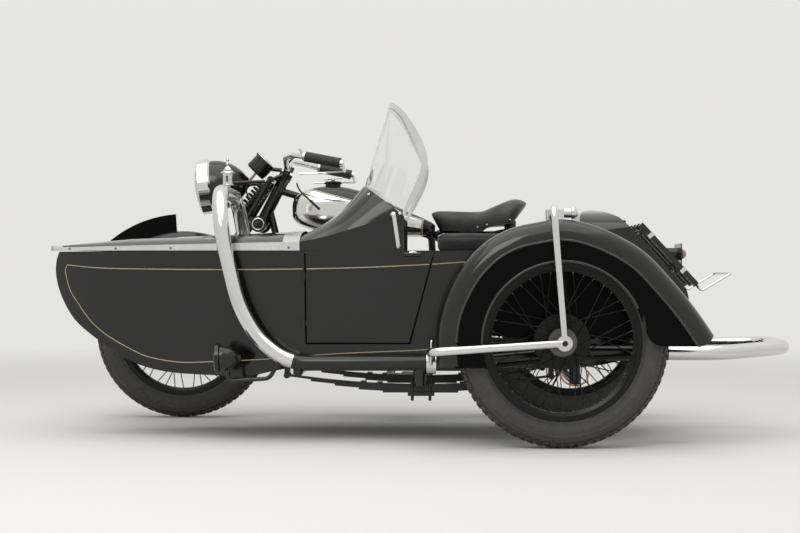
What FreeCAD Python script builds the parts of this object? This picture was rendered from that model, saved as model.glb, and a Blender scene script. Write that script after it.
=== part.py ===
import FreeCAD, Part
import math
import os

# Motorcycle with a sidecar on its left side, in millimetres.
# While it is drawn, X is 0 at the rear axle and grows forward, Y is 0 in the motorcycle's
# middle plane and grows to the left, and Z is 0 on the ground.

# Stance
WHEEL_RADIUS = 343.0
TYRE_HALF_WIDTH = 51.0
WHEELBASE = 1520.0
WHEEL_LEAD = 116.0

# Clearances
RUNNING_FIT = 0.05
SEAT_GAP = 0.3
PANEL_GAP = 5.5

# Wheels
BEAD_RADIUS = 243.0
RIM_FLANGE_RADIUS = 256.0
RIM_HALF_WIDTH = 33.0
RIM_WALL = 3.5
RIM_WELL_DEPTH = 11.0
HUB_BARREL_RADIUS = 30.0
HUB_FLANGE_RADIUS = 50.0
HUB_FLANGE_Y = 32.0
HUB_FLANGE_WIDTH = 6.0
HUB_HALF_WIDTH = 42.0
DRUM_RADIUS = 92.0
DRUM_WIDTH = 30.0
AXLE_RADIUS = 9.0
SPOKES = 40
SPOKE_RADIUS = 1.9
SPOKE_LEAN = math.radians(48.0)

# Final drive
CHAIN_Y = 64.0
SPROCKET_RADIUS = 84.0
GEARBOX_SPROCKET_RADIUS = 34.0
CHAIN_HEIGHT = 12.0
CHAIN_WIDTH = 9.0

# Steering head and fork
HEAD_TOP = (1120.0, 945.0)
HEAD_TILT = math.radians(27.0)
HEAD_LENGTH = 200.0
HEAD_RADIUS = 23.0
STEM_RADIUS = 12.0
FORK_TOP = (1172.0, 931.0)
FORK_LINK = (1262.0, 762.0)
BLADE_Y = 74.0
BLADE_RADIUS = 11.0
DAMPER_RADIUS = 31.0
FORK_SPRING_RADIUS = 31.0
FORK_SPRING_WIRE = 5.0
FORK_SPRING_TURNS = 8
FORK_SPRING_LOW = (1298.0, 793.0)
FORK_SPRING_HIGH = (1206.0, 905.0)

# Handlebar
BAR_RADIUS = 11.0
GRIP_RADIUS = 18.0
GRIP_FRONT = (1010.0, 345.0, 1000.0)
GRIP_END = (882.0, 372.0, 974.0)
LEVER_RADIUS = 4.0

# Headlamp and speedometer
LAMP_CENTRE = (1450.0, 903.0)
LAMP_TILT = math.radians(6.3)
LAMP_RADIUS = 108.0
LAMP_RIM_DEPTH = 47.0
LAMP_LENGTH = 190.0
SPEEDO_CENTRE = (1196.0, 1007.0)
SPEEDO_RADIUS = 47.0
SPEEDO_DEPTH = 62.0

# Motorcycle mudguards
GUARD_GAP = 43.0
GUARD_RADIUS = WHEEL_RADIUS + GUARD_GAP
GUARD_WALL = 2.5
FRONT_GUARD_HALF_WIDTH = 60.0
REAR_GUARD_HALF_WIDTH = 66.0
GUARD_SKIRT = 30.0
FRONT_PLATE_HEIGHT = 70.0
FRONT_PLATE_THICKNESS = 3.0
PLATE_HOLE_RADIUS = 3.0
PLATE_HOLE_Y = 75.0
PLATE_HOLE_Z = 520.0

# Motorcycle frame
TUBE_RADIUS = 14.0
STAY_RADIUS = 10.0
STAY_Y = 88.0
SEAT_LUG = (545.0, 712.0)
CRADLE_FRONT = (1090.0, 262.0)
CRADLE_REAR = (640.0, 236.0)
CRADLE_Y = 78.0

# Engine and gearbox
CRANK = (880.0, 352.0)
CASE_RADIUS = 112.0
CASE_HALF_WIDTH = 58.0
CYLINDER_LEAN = math.radians(25.0)
BARREL_START = 128.0
BARREL_RADIUS = 42.0
BARREL_LENGTH = 108.0
FIN_RADIUS = 60.0
FIN_THICKNESS = 3.0
FIN_PITCH = 10.0
HEAD_HEIGHT = 56.0
HEAD_OVERSIZE = 3.0
PUSHROD_Y = 71.0
PUSHROD_RADIUS = 7.0
GEARBOX_CENTRE = (640.0, 330.0)
PRIMARY_Y = 60.0
PRIMARY_DEPTH = 32.0
EXHAUST_Y = 148.0
EXHAUST_Z = 222.0
FOOTREST = (705.0, 176.0)

# Fuel tank
TANK_FRONT = 1088.0
TANK_BACK = 530.0
TANK_HALF_WIDTH = 142.0
TANK_TUNNEL = 46.0
FILLER = (928.0, 52.0, 886.0)

# Sidecar body, so far from the motorcycle's middle plane, and its wheel so far out from it
BODY_GAP = 337.0
BODY_HALF_WIDTH = 303.0
BODY_Y = BODY_GAP + BODY_HALF_WIDTH
WHEEL_GAP = 207.0
TRACK = BODY_Y + BODY_HALF_WIDTH + WHEEL_GAP
WAIST = 642.0
FLOOR = 246.0
KEEL = 220.0
WALL = 18.0
HULL_PLAN = ((1700.0, 0.36), (1480.0, 0.65), (1250.0, 0.86), (985.0, 0.985))
DECK_TIP = 1894.0
DECK_OVERHANG = 4.0
SCUTTLE_FRONT = 985.0
DOOR_FRONT = 970.0
DOOR_TOP_REAR = 526.0
DOOR_BOTTOM_REAR = 610.0
DOOR_BOTTOM = 326.0
DOOR_HINGE_HIGH = 540.0
DOOR_HINGE_LOW = 382.0
DOOR_HANDLE_INSET = 76.0
DOOR_HANDLE_DROP = 14.0
HINGE_RADIUS = 6.0
HINGE_LENGTH = 32.0
HINGE_LEAF = 22.0
TAIL_TOP = (-100.0, 757.0)
TAIL_LOW = (-325.0, 513.0)
LID_START = 26.0
LID_LENGTH = 262.0
LID_MARGIN = 98.0
LID_HALF_WIDTH = BODY_HALF_WIDTH - LID_MARGIN
TAIL_ARCH_HEIGHT = 145.0
RACK_INSET = 35.0
RACK_LENGTH = 352.0
SEAT_SIDE_GAP = 24.0
SEAT_BACK_X = 141.0
HOOD_RADIUS = 30.0

# Windscreen: an elliptical cylinder that leans back
SCREEN_BASE = (777.0, 872.0)
SCREEN_TOP = (688.0, 1166.0)
SCREEN_DEPTH = 186.0
SCREEN_SIDE_GAP = 15.0
SCREEN_HALF_WIDTH = BODY_HALF_WIDTH - SCREEN_SIDE_GAP
SCREEN_SHEET = 5.0
SCREEN_CHANNEL = 22.0

# Sidecar chassis
CHASSIS_RADIUS = 26.0
CHASSIS_Z = 266.0
CHASSIS_RISE = math.radians(15.0)
CHASSIS_BEND_X = 978.0
CHASSIS_BEND = 150.0
FAR_RAIL_RADIUS = 22.0
NEAR_RAIL_GAP = 57.0
FAR_RAIL_GAP = 67.0
CHASSIS_NEAR_Y = BODY_Y + BODY_HALF_WIDTH + NEAR_RAIL_GAP
CHASSIS_FAR_Y = BODY_GAP - FAR_RAIL_GAP
CROSS_RADIUS = 15.0
CROSS_Z = 204.0
CROSS_X = (985.0, 575.0, 60.0)
HOOP_RADIUS = 26.0
HOOP_TOP_Z = 872.0
HOOP_JOINT = 1002.0
HOOP_LEG = ((1040.6, 282.9), (1119.0, 344.5), (1186.0, 451.0), (1240.0, 660.0))
HOOP_LEG_TUCK = (0.0, 10.0, 24.0, 52.0)
HOOP_LEG_BENDS = (190.0, 280.0, 450.0, 500.0)
HOOP_CROWN_TUCK = 76.0
HOOP_CROWN_X = 1266.0
HOOP_CROWN_BEND = 150.0
SPRING_TUCK = 53.0
LEAVES = 5
LEAF_THICKNESS = 6.0
LEAF_FRONT = 455.0
LEAF_REAR = 440.0
LEAF_RISE = 34.0
BUMPER_RADIUS = 25.0
BUMPER_TUCK = 40.0
BUMPER_NEAR_Y = CHASSIS_NEAR_Y - BUMPER_TUCK
BUMPER_START = -251.0
BUMPER_BACK = -674.0
BUMPER_Z = 308.0

# Sidecar mudguard
WING_INNER_Y = TRACK - 82.0
WING_OUTER_Y = TRACK + 76.0
WING_WALL = 3.0
WING_TOP = 739.0
WING_CROWN_FILLET = 62.0
WING_WHEEL_CUT = 258.0
WING_INNER_CUT = 328.0
WING_FOOT_X = 112.0
OUTRIGGER_X = 540.0
OUTRIGGER_Y = TRACK + 112.0
SPINDLE_END = 26.0

# The finished part is moved so that its origin lies under the middle of its box
BUMPER_REACH = BUMPER_BACK - BUMPER_RADIUS
GRIP_REACH = 388.0
ORIGIN_X = (DECK_TIP + BUMPER_REACH) / 2.0
ORIGIN_Y = (OUTRIGGER_Y + SPINDLE_END - GRIP_REACH) / 2.0


# Geometry helpers

def vec(x, y, z):
    return FreeCAD.Vector(x, y, z)


def wire_of(steps, place):
    """Closed wire. A bare point is reached by a line, an arc or curve step bends to its last point."""
    edges = []
    start = place(*steps[0])
    here = start
    for step in steps[1:]:
        if step[0] == "arc":
            end = place(*step[2])
            edges.append(Part.Arc(here, place(*step[1]), end).toShape())
        elif step[0] == "curve":
            points = [here] + [place(*point) for point in step[1:]]
            end = points[-1]
            curve = Part.BSplineCurve()
            curve.interpolate(points)
            edges.append(curve.toShape())
        else:
            end = place(*step)
            if here.distanceToPoint(end) > 1e-6:
                edges.append(Part.makeLine(here, end))
        here = end
    if here.distanceToPoint(start) > 1e-6:
        edges.append(Part.makeLine(here, start))
    return Part.Wire(edges)


def inset(steps, depth):
    """The same outline with every point moved inward by about the given depth."""
    kinds = []
    ring = []
    for step in steps:
        bent = step[0] in ("arc", "curve")
        points = list(step[1:]) if bent else [step]
        kinds.append((step[0] if bent else "", len(points)))
        ring += points
    twice = math.dist(ring[0], ring[-1]) < 1e-6
    loop = ring[:-1] if twice else ring
    following = loop[1:] + loop[:1]
    area = sum(a[0] * b[1] - b[0] * a[1] for a, b in zip(loop, following))
    turn = math.copysign(1.0, area)
    moved = []
    for before, point, after in zip(loop[-1:] + loop[:-1], loop, following):
        normals = []
        for a, b in ((before, point), (point, after)):
            length = math.dist(a, b)
            normals.append((-(b[1] - a[1]) / length * turn, (b[0] - a[0]) / length * turn))
        bx = normals[0][0] + normals[1][0]
        bz = normals[0][1] + normals[1][1]
        size = 2.0 * depth / (bx * bx + bz * bz)
        moved.append((point[0] + bx * size, point[1] + bz * size))
    if twice:
        moved.append(moved[0])
    result = []
    for kind, count in kinds:
        points = moved[:count]
        moved = moved[count:]
        result.append((kind,) + tuple(points) if kind else points[0])
    return result


def side_face(steps, y=0.0):
    return Part.Face(wire_of(steps, lambda x, z: vec(x, y, z)))


def slab(steps, y_low, y_high):
    """Side-view outline, given in X and Z, made solid from y_low to y_high."""
    return side_face(steps, y_low).extrude(vec(0, y_high - y_low, 0))


def plank(steps, z_low, z_high):
    """Plan outline, given in X and Y, made solid from z_low to z_high."""
    face = Part.Face(wire_of(steps, lambda x, y: vec(x, y, z_low)))
    return face.extrude(vec(0, 0, z_high - z_low))


def turned(steps, centre, angle=360.0):
    """Outline of radius and Y, turned about the Y axis through centre (X, Z)."""
    face = Part.Face(wire_of(steps, lambda r, y: vec(r, y, 0)))
    solid = face.revolve(vec(0, 0, 0), vec(0, 1, 0), angle)
    solid.translate(vec(centre[0], 0, centre[1]))
    return solid


def spun(steps, base, axis):
    """Outline of radius and height, turned about the given axis from base."""
    face = Part.Face(wire_of(steps, lambda r, h: vec(r, 0, h)))
    solid = face.revolve(vec(0, 0, 0), vec(0, 0, 1), 360)
    solid.Placement = FreeCAD.Placement(base, FreeCAD.Rotation(vec(0, 0, 1), axis))
    return solid


def rod(start, end, radius, end_radius=None):
    """Round bar between two points, tapered if end_radius is given."""
    run = end - start
    if end_radius is None:
        return Part.makeCylinder(radius, run.Length, start, run)
    return Part.makeCone(radius, end_radius, run.Length, start, run)


def bent_rod(points, bends, radius):
    """Round bar along straight runs joined by tangent arcs of the given bend radii."""
    if not isinstance(bends, (list, tuple)):
        bends = [bends] * (len(points) - 2)
    edges = []
    here = points[0]
    for corner, after, bend in zip(points[1:-1], points[2:], bends):
        inward = (corner - here).normalize()
        outward = (after - corner).normalize()
        half_turn = inward.getAngle(outward) / 2.0
        reach = bend * math.tan(half_turn)
        arc_start = corner - inward * reach
        arc_end = corner + outward * reach
        bisector = (outward - inward).normalize()
        arc_middle = corner + bisector * (bend / math.cos(half_turn) - bend)
        edges.append(Part.makeLine(here, arc_start))
        edges.append(Part.Arc(arc_start, arc_middle, arc_end).toShape())
        here = arc_end
    edges.append(Part.makeLine(here, points[-1]))
    path = Part.Wire(edges)
    section = Part.Wire(Part.makeCircle(radius, points[0], points[1] - points[0]))
    return path.makePipeShell([section], True, False)


def fused(shapes):
    return shapes[0].multiFuse(shapes[1:])


def box(x, y, z):
    """Box from pairs of low and high X, Y and Z."""
    return Part.makeBox(x[1] - x[0], y[1] - y[0], z[1] - z[0], vec(x[0], y[0], z[0]))


def mirrored(shape, y=0.0):
    return shape.mirror(vec(0, y, 0), vec(0, 1, 0))


def ring_section(half_width, low, high, corner, x):
    """Rounded rectangle across the vehicle at X, for lofts."""
    def place(y, z):
        return vec(x, y, z)
    w = half_width
    c = corner
    k = corner * (1.0 - math.sqrt(0.5))
    return wire_of([(-w + c, low), (w - c, low), ("arc", (w - k, low + k), (w, low + c)),
                    (w, high - c), ("arc", (w - k, high - k), (w - c, high)),
                    (-w + c, high), ("arc", (-w + k, high - k), (-w, high - c)),
                    (-w, low + c), ("arc", (-w + k, low + k), (-w + c, low))], place)


PARTS = {}


# Wheels

def tyre_ring():
    w = TYRE_HALF_WIDTH
    bead = RIM_HALF_WIDTH - RIM_WALL
    return [(BEAD_RADIUS, -bead), (BEAD_RADIUS, bead), (RIM_FLANGE_RADIUS, bead),
            ("arc", (WHEEL_RADIUS - 48, w), (WHEEL_RADIUS - 16, w - 11)),
            ("arc", (WHEEL_RADIUS, 0), (WHEEL_RADIUS - 16, 11 - w)),
            ("arc", (WHEEL_RADIUS - 48, -w), (RIM_FLANGE_RADIUS, -bead))]


def rim_ring():
    w = RIM_HALF_WIDTH
    inner = w - RIM_WALL
    well = BEAD_RADIUS - RIM_WELL_DEPTH
    return [(RIM_FLANGE_RADIUS, -w), (RIM_FLANGE_RADIUS, -inner), (BEAD_RADIUS, -inner),
            (BEAD_RADIUS, -14), (well, -9), (well, 9), (BEAD_RADIUS, 14), (BEAD_RADIUS, inner),
            (RIM_FLANGE_RADIUS, inner), (RIM_FLANGE_RADIUS, w), (BEAD_RADIUS - RIM_WALL, w - 1),
            (BEAD_RADIUS - RIM_WALL, 16), (well - RIM_WALL, 10), (well - RIM_WALL, -10),
            (BEAD_RADIUS - RIM_WALL, -16), (BEAD_RADIUS - RIM_WALL, 1 - w)]


def hub_shape(drum_side):
    """Hub turned about Y, with a brake drum on the side of the given sign."""
    bore = AXLE_RADIUS + RUNNING_FIT
    low = HUB_FLANGE_Y - HUB_FLANGE_WIDTH
    steps = [(bore, -HUB_HALF_WIDTH), (HUB_BARREL_RADIUS - 6, -HUB_HALF_WIDTH),
             (HUB_BARREL_RADIUS - 6, -HUB_FLANGE_Y), (HUB_FLANGE_RADIUS, -HUB_FLANGE_Y),
             (HUB_FLANGE_RADIUS, -low), (HUB_BARREL_RADIUS, -low),
             ("arc", (HUB_BARREL_RADIUS - 6, 0), (HUB_BARREL_RADIUS, HUB_FLANGE_Y - DRUM_WIDTH)),
             (DRUM_RADIUS, HUB_FLANGE_Y - DRUM_WIDTH), (DRUM_RADIUS, HUB_FLANGE_Y + 6),
             (DRUM_RADIUS - 5, HUB_FLANGE_Y + 6), (DRUM_RADIUS - 5, HUB_FLANGE_Y - DRUM_WIDTH + 5),
             (HUB_BARREL_RADIUS - 4, HUB_FLANGE_Y - DRUM_WIDTH + 5),
             (HUB_BARREL_RADIUS - 4, HUB_HALF_WIDTH), (bore, HUB_HALF_WIDTH)]
    hub = turned(steps, (0, 0))
    return hub if drum_side > 0 else mirrored(hub)


def spoke(side, index, drum_side):
    """One spoke, leaning forward or back by turns, inside or outside its flange by turns."""
    on_drum = side == drum_side
    per_side = SPOKES // 2
    lean = SPOKE_LEAN * (1 if index % 2 else -1)
    if on_drum:
        lean *= 0.55
    rim_angle = 2 * math.pi * (index + (0.5 if on_drum else 0.0)) / per_side
    hub_angle = rim_angle + lean
    hub_radius = DRUM_RADIUS - 4 if on_drum else HUB_FLANGE_RADIUS - 5
    hub_y = HUB_FLANGE_Y - HUB_FLANGE_WIDTH / 2.0
    if on_drum:
        hub_y -= 12
    hub_y += 2.6 if index % 2 else -2.6
    rim_radius = BEAD_RADIUS - RIM_WELL_DEPTH - RIM_WALL / 2.0
    rim_y = 6.0 + (1.2 if index % 2 else -1.2)
    start = vec(hub_radius * math.cos(hub_angle), side * hub_y, hub_radius * math.sin(hub_angle))
    end = vec(rim_radius * math.cos(rim_angle), side * rim_y, rim_radius * math.sin(rim_angle))
    return rod(start, end, SPOKE_RADIUS)


def wire_wheel(drum_side):
    pieces = [hub_shape(drum_side), turned(rim_ring(), (0, 0))]
    for side in (-1, 1):
        for index in range(SPOKES // 2):
            pieces.append(spoke(side, index, drum_side))
    return fused(pieces)


def build_wheels():
    ring = turned(tyre_ring(), (0, 0))
    wheel = wire_wheel(-1)
    places = {"front": (WHEELBASE, 0.0), "rear": (0.0, 0.0), "sidecar": (WHEEL_LEAD, TRACK)}
    for name, (x, y) in places.items():
        at = vec(x, y, WHEEL_RADIUS)
        rim = wheel.copy()
        if name == "rear":
            rim = mirrored(wheel)
            carrier = SPROCKET_RADIUS - 16
            sprocket = turned([(HUB_BARREL_RADIUS - 5, 37), (carrier, 37), (carrier, CHAIN_Y - 3),
                               (SPROCKET_RADIUS, CHAIN_Y - 3), (SPROCKET_RADIUS, CHAIN_Y + 3),
                               (HUB_BARREL_RADIUS - 5, CHAIN_Y + 3)], (0, 0))
            rim = rim.fuse(sprocket)
        rim.translate(at)
        rubber = ring.copy()
        rubber.translate(at)
        PARTS[name + "_tyre"] = rubber
        PARTS[name + "_wire_wheel"] = rim


# Final drive

def belt_outline(rear, rear_radius, front, front_radius):
    """Side outline round two circles, as a list of steps."""
    dx = front[0] - rear[0]
    dz = front[1] - rear[1]
    slope = math.atan2(dz, dx)
    lean = math.acos((rear_radius - front_radius) / math.hypot(dx, dz))

    def on(centre, radius, angle):
        return (centre[0] + radius * math.cos(angle), centre[1] + radius * math.sin(angle))
    up = slope + lean
    down = slope - lean
    return [on(rear, rear_radius, up), ("arc", on(rear, rear_radius, slope + math.pi),
                                       on(rear, rear_radius, down)),
            on(front, front_radius, down), ("arc", on(front, front_radius, slope),
                                           on(front, front_radius, up)),
            on(rear, rear_radius, up)]


def build_drive_chain():
    rear = (0.0, WHEEL_RADIUS)
    inner = SPROCKET_RADIUS + SEAT_GAP
    outer = belt_outline(rear, inner + CHAIN_HEIGHT, GEARBOX_CENTRE, GEARBOX_SPROCKET_RADIUS + CHAIN_HEIGHT)
    hole = belt_outline(rear, inner, GEARBOX_CENTRE, GEARBOX_SPROCKET_RADIUS)
    low = CHAIN_Y - CHAIN_WIDTH / 2.0
    high = CHAIN_Y + CHAIN_WIDTH / 2.0
    PARTS["drive_chain"] = slab(outer, low, high).cut(slab(hole, low - 1, high + 1))


# Motorcycle frame

def head_point(along, outward=0.0):
    """Point in the middle plane, so far down the steering axis and so far in front of it."""
    s, c = math.sin(HEAD_TILT), math.cos(HEAD_TILT)
    return vec(HEAD_TOP[0] + along * s + outward * c, 0.0, HEAD_TOP[1] - along * c + outward * s)


def cradle_z(x):
    """Height of the cradle tubes' centre line between its two corners."""
    low = CRADLE_REAR[1] - 20
    return low + 6 * (x - CRADLE_REAR[0]) / (CRADLE_FRONT[0] - 4 - CRADLE_REAR[0])


def build_frame():
    top = head_point(0)
    bottom = head_point(HEAD_LENGTH)
    axis = bottom - top
    head = Part.makeCylinder(HEAD_RADIUS, HEAD_LENGTH, top, axis)
    bore = rod(head_point(-2), head_point(HEAD_LENGTH + 2), STEM_RADIUS + RUNNING_FIT)
    seat = vec(SEAT_LUG[0], 0, SEAT_LUG[1])
    foot_x = SEAT_LUG[0] - 17
    low = CRADLE_REAR[1] - 20
    top_tube = rod(head_point(60), seat, TUBE_RADIUS)
    down_tube = bent_rod([head_point(138), vec(CRADLE_FRONT[0] + 6, 0, 470), vec(CRADLE_FRONT[0], 0, 330)],
                         200, TUBE_RADIUS)
    seat_tube = rod(seat, vec(foot_x, 0, 470), TUBE_RADIUS)
    tubes = []
    for side in (-1, 1):
        y = side * CRADLE_Y
        tubes.append(bent_rod([vec(CRADLE_FRONT[0], 0, 340), vec(CRADLE_FRONT[0] - 4, y, low + 6),
                               vec(CRADLE_REAR[0], y, low), vec(0, side * STAY_Y, WHEEL_RADIUS)],
                              [40, 120], STAY_RADIUS + 1))
        tubes.append(bent_rod([vec(foot_x, 0, 482), vec(foot_x, side * (CRADLE_Y + 14), 404),
                               vec(foot_x, y + side * 2, low + 18)], 40, STAY_RADIUS))
        tubes.append(bent_rod([seat, vec(SEAT_LUG[0] - 70, side * STAY_Y, SEAT_LUG[1] - 34),
                               vec(0, side * STAY_Y, WHEEL_RADIUS)], 30, STAY_RADIUS))
        tubes.append(Part.makeCylinder(24, 8, vec(0, side * STAY_Y - 4, WHEEL_RADIUS), vec(0, 1, 0)))
    for x in (CRADLE_REAR[0] + 10, CRANK[0]):
        tubes.append(Part.makeCylinder(STAY_RADIUS, 2 * CRADLE_Y, vec(x, -CRADLE_Y, low + 2), vec(0, 1, 0)))
    half = STAY_Y + 30
    axle = Part.makeCylinder(AXLE_RADIUS, 2 * half, vec(0, -half, WHEEL_RADIUS), vec(0, 1, 0))
    lug = Part.makeSphere(HEAD_RADIUS - 3, seat)
    collars = [Part.makeCylinder(HEAD_RADIUS + 3, 16, head_point(along), axis)
               for along in (0, HEAD_LENGTH - 16)]
    frame = fused([head, top_tube, down_tube, seat_tube, lug, axle] + collars + tubes + saddle_supports())
    PARTS["motorcycle_frame"] = frame.cut(bore)


def saddle_supports():
    """Saddle rails and rear coil springs, carried by the seat lug and the seat stays."""
    pieces = []
    pivot = vec(SEAT_LUG[0] - 42, 0, SEAT_LUG[1] + 18)
    pieces.append(rod(vec(SEAT_LUG[0], 0, SEAT_LUG[1]), pivot, 10))
    for side in (-1, 1):
        y = side * 74
        foot = vec(236, y, 640)
        pieces.append(bent_rod([pivot, vec(440, side * 60, 720), vec(300, y, 722), vec(226, y, 738)], 30, 7))
        pieces.append(Part.makeCylinder(20, 134, foot, vec(0, 0, 1)))
        stay_top = (SEAT_LUG[0] - 70, SEAT_LUG[1] - 34)
        stay_z = stay_top[1] - (stay_top[0] - 236) * (stay_top[1] - WHEEL_RADIUS) / stay_top[0]
        pieces.append(rod(vec(236, side * STAY_Y, stay_z), foot + vec(0, 0, 10), 9))
    seat_room = PARTS["saddle"].copy()
    seat_room.translate(vec(0, 0, -SEAT_GAP))
    return [piece.cut(seat_room) for piece in pieces]


# Engine

def lean_frame(lean):
    """Base point and direction of a cylinder that leans forward by the given angle."""
    direction = vec(math.sin(lean), 0, math.cos(lean))
    base = vec(CRANK[0], 0, CRANK[1]) + direction * BARREL_START
    return base, direction


def cylinder_shape(lean):
    base, direction = lean_frame(lean)
    pieces = [Part.makeCylinder(BARREL_RADIUS, BARREL_LENGTH, base, direction)]
    height = 12.0
    while height < BARREL_LENGTH - FIN_THICKNESS:
        pieces.append(Part.makeCylinder(FIN_RADIUS, FIN_THICKNESS, base + direction * height, direction))
        height += FIN_PITCH
    head_base = base + direction * BARREL_LENGTH
    pieces.append(Part.makeCylinder(FIN_RADIUS - 8, HEAD_HEIGHT, head_base, direction))
    height = 4.0
    while height < HEAD_HEIGHT - 12:
        fin_base = head_base + direction * height
        pieces.append(Part.makeCylinder(FIN_RADIUS + HEAD_OVERSIZE, FIN_THICKNESS, fin_base, direction))
        height += FIN_PITCH
    cover = Part.makeCylinder(FIN_RADIUS - 26, 22, head_base + direction * HEAD_HEIGHT, direction)
    pieces.append(cover)
    for offset in (-14, 14):
        across = vec(math.cos(lean), 0, -math.sin(lean)) * offset
        foot = base + across + vec(0, -PUSHROD_Y, 0) - direction * 20
        pieces.append(rod(foot, foot + direction * (BARREL_LENGTH + HEAD_HEIGHT + 8), PUSHROD_RADIUS))
    rocker_base = head_base + direction * (HEAD_HEIGHT - 4)
    pieces.append(Part.makeCylinder(22, PUSHROD_Y + 14, rocker_base, vec(0, -1, 0)))
    return fused(pieces)


def cylinder_envelopes():
    """Clearance round both leaning cylinders, for what is seated on them."""
    shapes = []
    for lean in (CYLINDER_LEAN, -CYLINDER_LEAN):
        base, direction = lean_frame(lean)
        shapes.append(Part.makeCylinder(FIN_RADIUS + HEAD_OVERSIZE + SEAT_GAP, BARREL_LENGTH + HEAD_HEIGHT + 40,
                                        base, direction))
    return shapes[0].fuse(shapes[1])


def build_engine():
    centre = vec(CRANK[0], 0, CRANK[1])
    case_side = centre - vec(0, CASE_HALF_WIDTH, 0)
    case = Part.makeCylinder(CASE_RADIUS, 2 * CASE_HALF_WIDTH, case_side, vec(0, 1, 0))
    pieces = [case]
    for lean in (-CYLINDER_LEAN, CYLINDER_LEAN):
        direction = vec(math.sin(lean), 0, math.cos(lean))
        pieces.append(Part.makeCylinder(BARREL_RADIUS + 12, BARREL_START, centre, direction))
    timing = belt_outline((CRANK[0] - 4, CRANK[1] + 4), 70, (CRANK[0] + 128, CRANK[1] + 62), 38)
    pieces.append(slab(timing, -CASE_HALF_WIDTH - 26, -CASE_HALF_WIDTH + 2))
    magneto_end = vec(CRANK[0] + 128, -CASE_HALF_WIDTH + 2, CRANK[1] + 62)
    magneto = Part.makeCylinder(38, 120, magneto_end, vec(0, 1, 0))
    pieces.append(magneto)
    for side in (-1, 1):
        plate_y = side * (TUBE_RADIUS + SEAT_GAP + 4)
        front = CRADLE_FRONT[0] + 10
        pieces.append(slab([(CRANK[0] + 70, CRANK[1] + 40), (front, 372), (front, 344),
                            (CRANK[0] + 70, CRANK[1] - 60)],
                           plate_y - 4, plate_y + 4))
    for lean in (-CYLINDER_LEAN, CYLINDER_LEAN):
        direction = vec(math.sin(lean), 0, math.cos(lean))
        for offset in (-14, 14):
            across = vec(math.cos(lean), 0, -math.sin(lean)) * offset
            foot = centre + across + vec(0, -PUSHROD_Y, 0)
            pieces.append(rod(foot + direction * 50, foot + direction * (BARREL_START - 20 - SEAT_GAP), 11))
    low = CRADLE_REAR[1] - 18 + STAY_RADIUS + SEAT_GAP
    pieces.append(box((CRANK[0] - 16, CRANK[0] + 16), (-40, 40), (low, CRANK[1] - CASE_RADIUS + 12)))
    PARTS["crankcase"] = fused(pieces)
    PARTS["cylinders"] = Part.makeCompound([cylinder_shape(CYLINDER_LEAN), cylinder_shape(-CYLINDER_LEAN)])


def build_gearbox():
    gx, gz = GEARBOX_CENTRE
    shell = slab(belt_outline((gx - 10, gz), 56, (gx + 50, gz + 4), 52), -CASE_HALF_WIDTH, CASE_HALF_WIDTH - 6)
    sprocket = Part.makeCylinder(GEARBOX_SPROCKET_RADIUS - SEAT_GAP, CHAIN_WIDTH + 4,
                                 vec(gx, CASE_HALF_WIDTH - 8, gz), vec(0, 1, 0))
    low = CRADLE_REAR[1] - 18 + STAY_RADIUS + SEAT_GAP
    x = CRADLE_REAR[0] + 10
    foot = box((x - 16, x + 16), (-34, 34), (low, gz - 44))
    PARTS["gearbox"] = fused([shell, sprocket, foot])


# Primary drive, intake and exhaust

def build_primary_case():
    low = PRIMARY_Y + 10
    clutch = (GEARBOX_CENTRE[0], GEARBOX_CENTRE[1])
    cover = slab(belt_outline(clutch, 92, CRANK, 64), low, low + PRIMARY_DEPTH)
    neck_foot = vec(CRANK[0], CASE_HALF_WIDTH, CRANK[1])
    neck = Part.makeCylinder(40, low - CASE_HALF_WIDTH + 2, neck_foot, vec(0, 1, 0))
    dome = Part.makeCylinder(74, 12, vec(clutch[0], low + PRIMARY_DEPTH - 1, clutch[1]), vec(0, 1, 0))
    PARTS["primary_case"] = fused([cover, neck, dome])


def build_intake():
    """Carburettor in the vee, with its mixing chamber and float bowl."""
    front_base, front_axis = lean_frame(CYLINDER_LEAN)
    rear_base, rear_axis = lean_frame(-CYLINDER_LEAN)
    height = BARREL_LENGTH + HEAD_HEIGHT / 2.0
    front_port = front_base + front_axis * height
    rear_port = rear_base + rear_axis * height
    middle = (front_port + rear_port) * 0.5
    manifold = rod(rear_port + vec(8, 0, 0), front_port - vec(8, 0, 0), 17).cut(cylinder_envelopes())
    body = Part.makeCylinder(17, 96, middle, vec(0, 1, 0))
    mouth = Part.makeCone(17, 30, 24, middle + vec(0, 96, 0), vec(0, 1, 0))
    chamber = Part.makeCylinder(19, 92, middle + vec(0, 88, -40), vec(0, 0, 1))
    bowl = Part.makeCylinder(24, 50, middle + vec(34, 98, -34), vec(0, 0, 1))
    PARTS["carburettor"] = fused([manifold, body, mouth, chamber, bowl])


def build_exhaust():
    y = -EXHAUST_Y
    low = EXHAUST_Z
    reach = FIN_RADIUS / math.cos(CYLINDER_LEAN)
    pieces = []
    for lean, drop, knee in ((CYLINDER_LEAN, 24.0, 108.0), (-CYLINDER_LEAN, -60.0, -118.0)):
        base, axis = lean_frame(lean)
        port = base + axis * (BARREL_LENGTH + 22)
        side = math.copysign(1.0, lean)
        start = port + vec(side * (reach - 14), 0, 0)
        out = start + vec(side * 56, -36, -2)
        down = vec(port.x + knee, y, port.z - 120)
        foot = vec(port.x + drop, y, low)
        pieces.append(bent_rod([start, out, down, foot, vec(520, y, low)], [24, 50, 60], 19))
    silencer = spun([(0, 0), (22, 0), (44, 60), (44, 420), (30, 470), (0, 470)],
                    vec(530, y, low), vec(-1, 0, 0.02))
    tail = slab([(70, low - 2), (-150, low - 26), (-150, low + 46), (70, low + 16)], y - 9, y + 9)
    PARTS["exhaust_system"] = fused(pieces + [silencer, tail]).cut(cylinder_envelopes())


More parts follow.
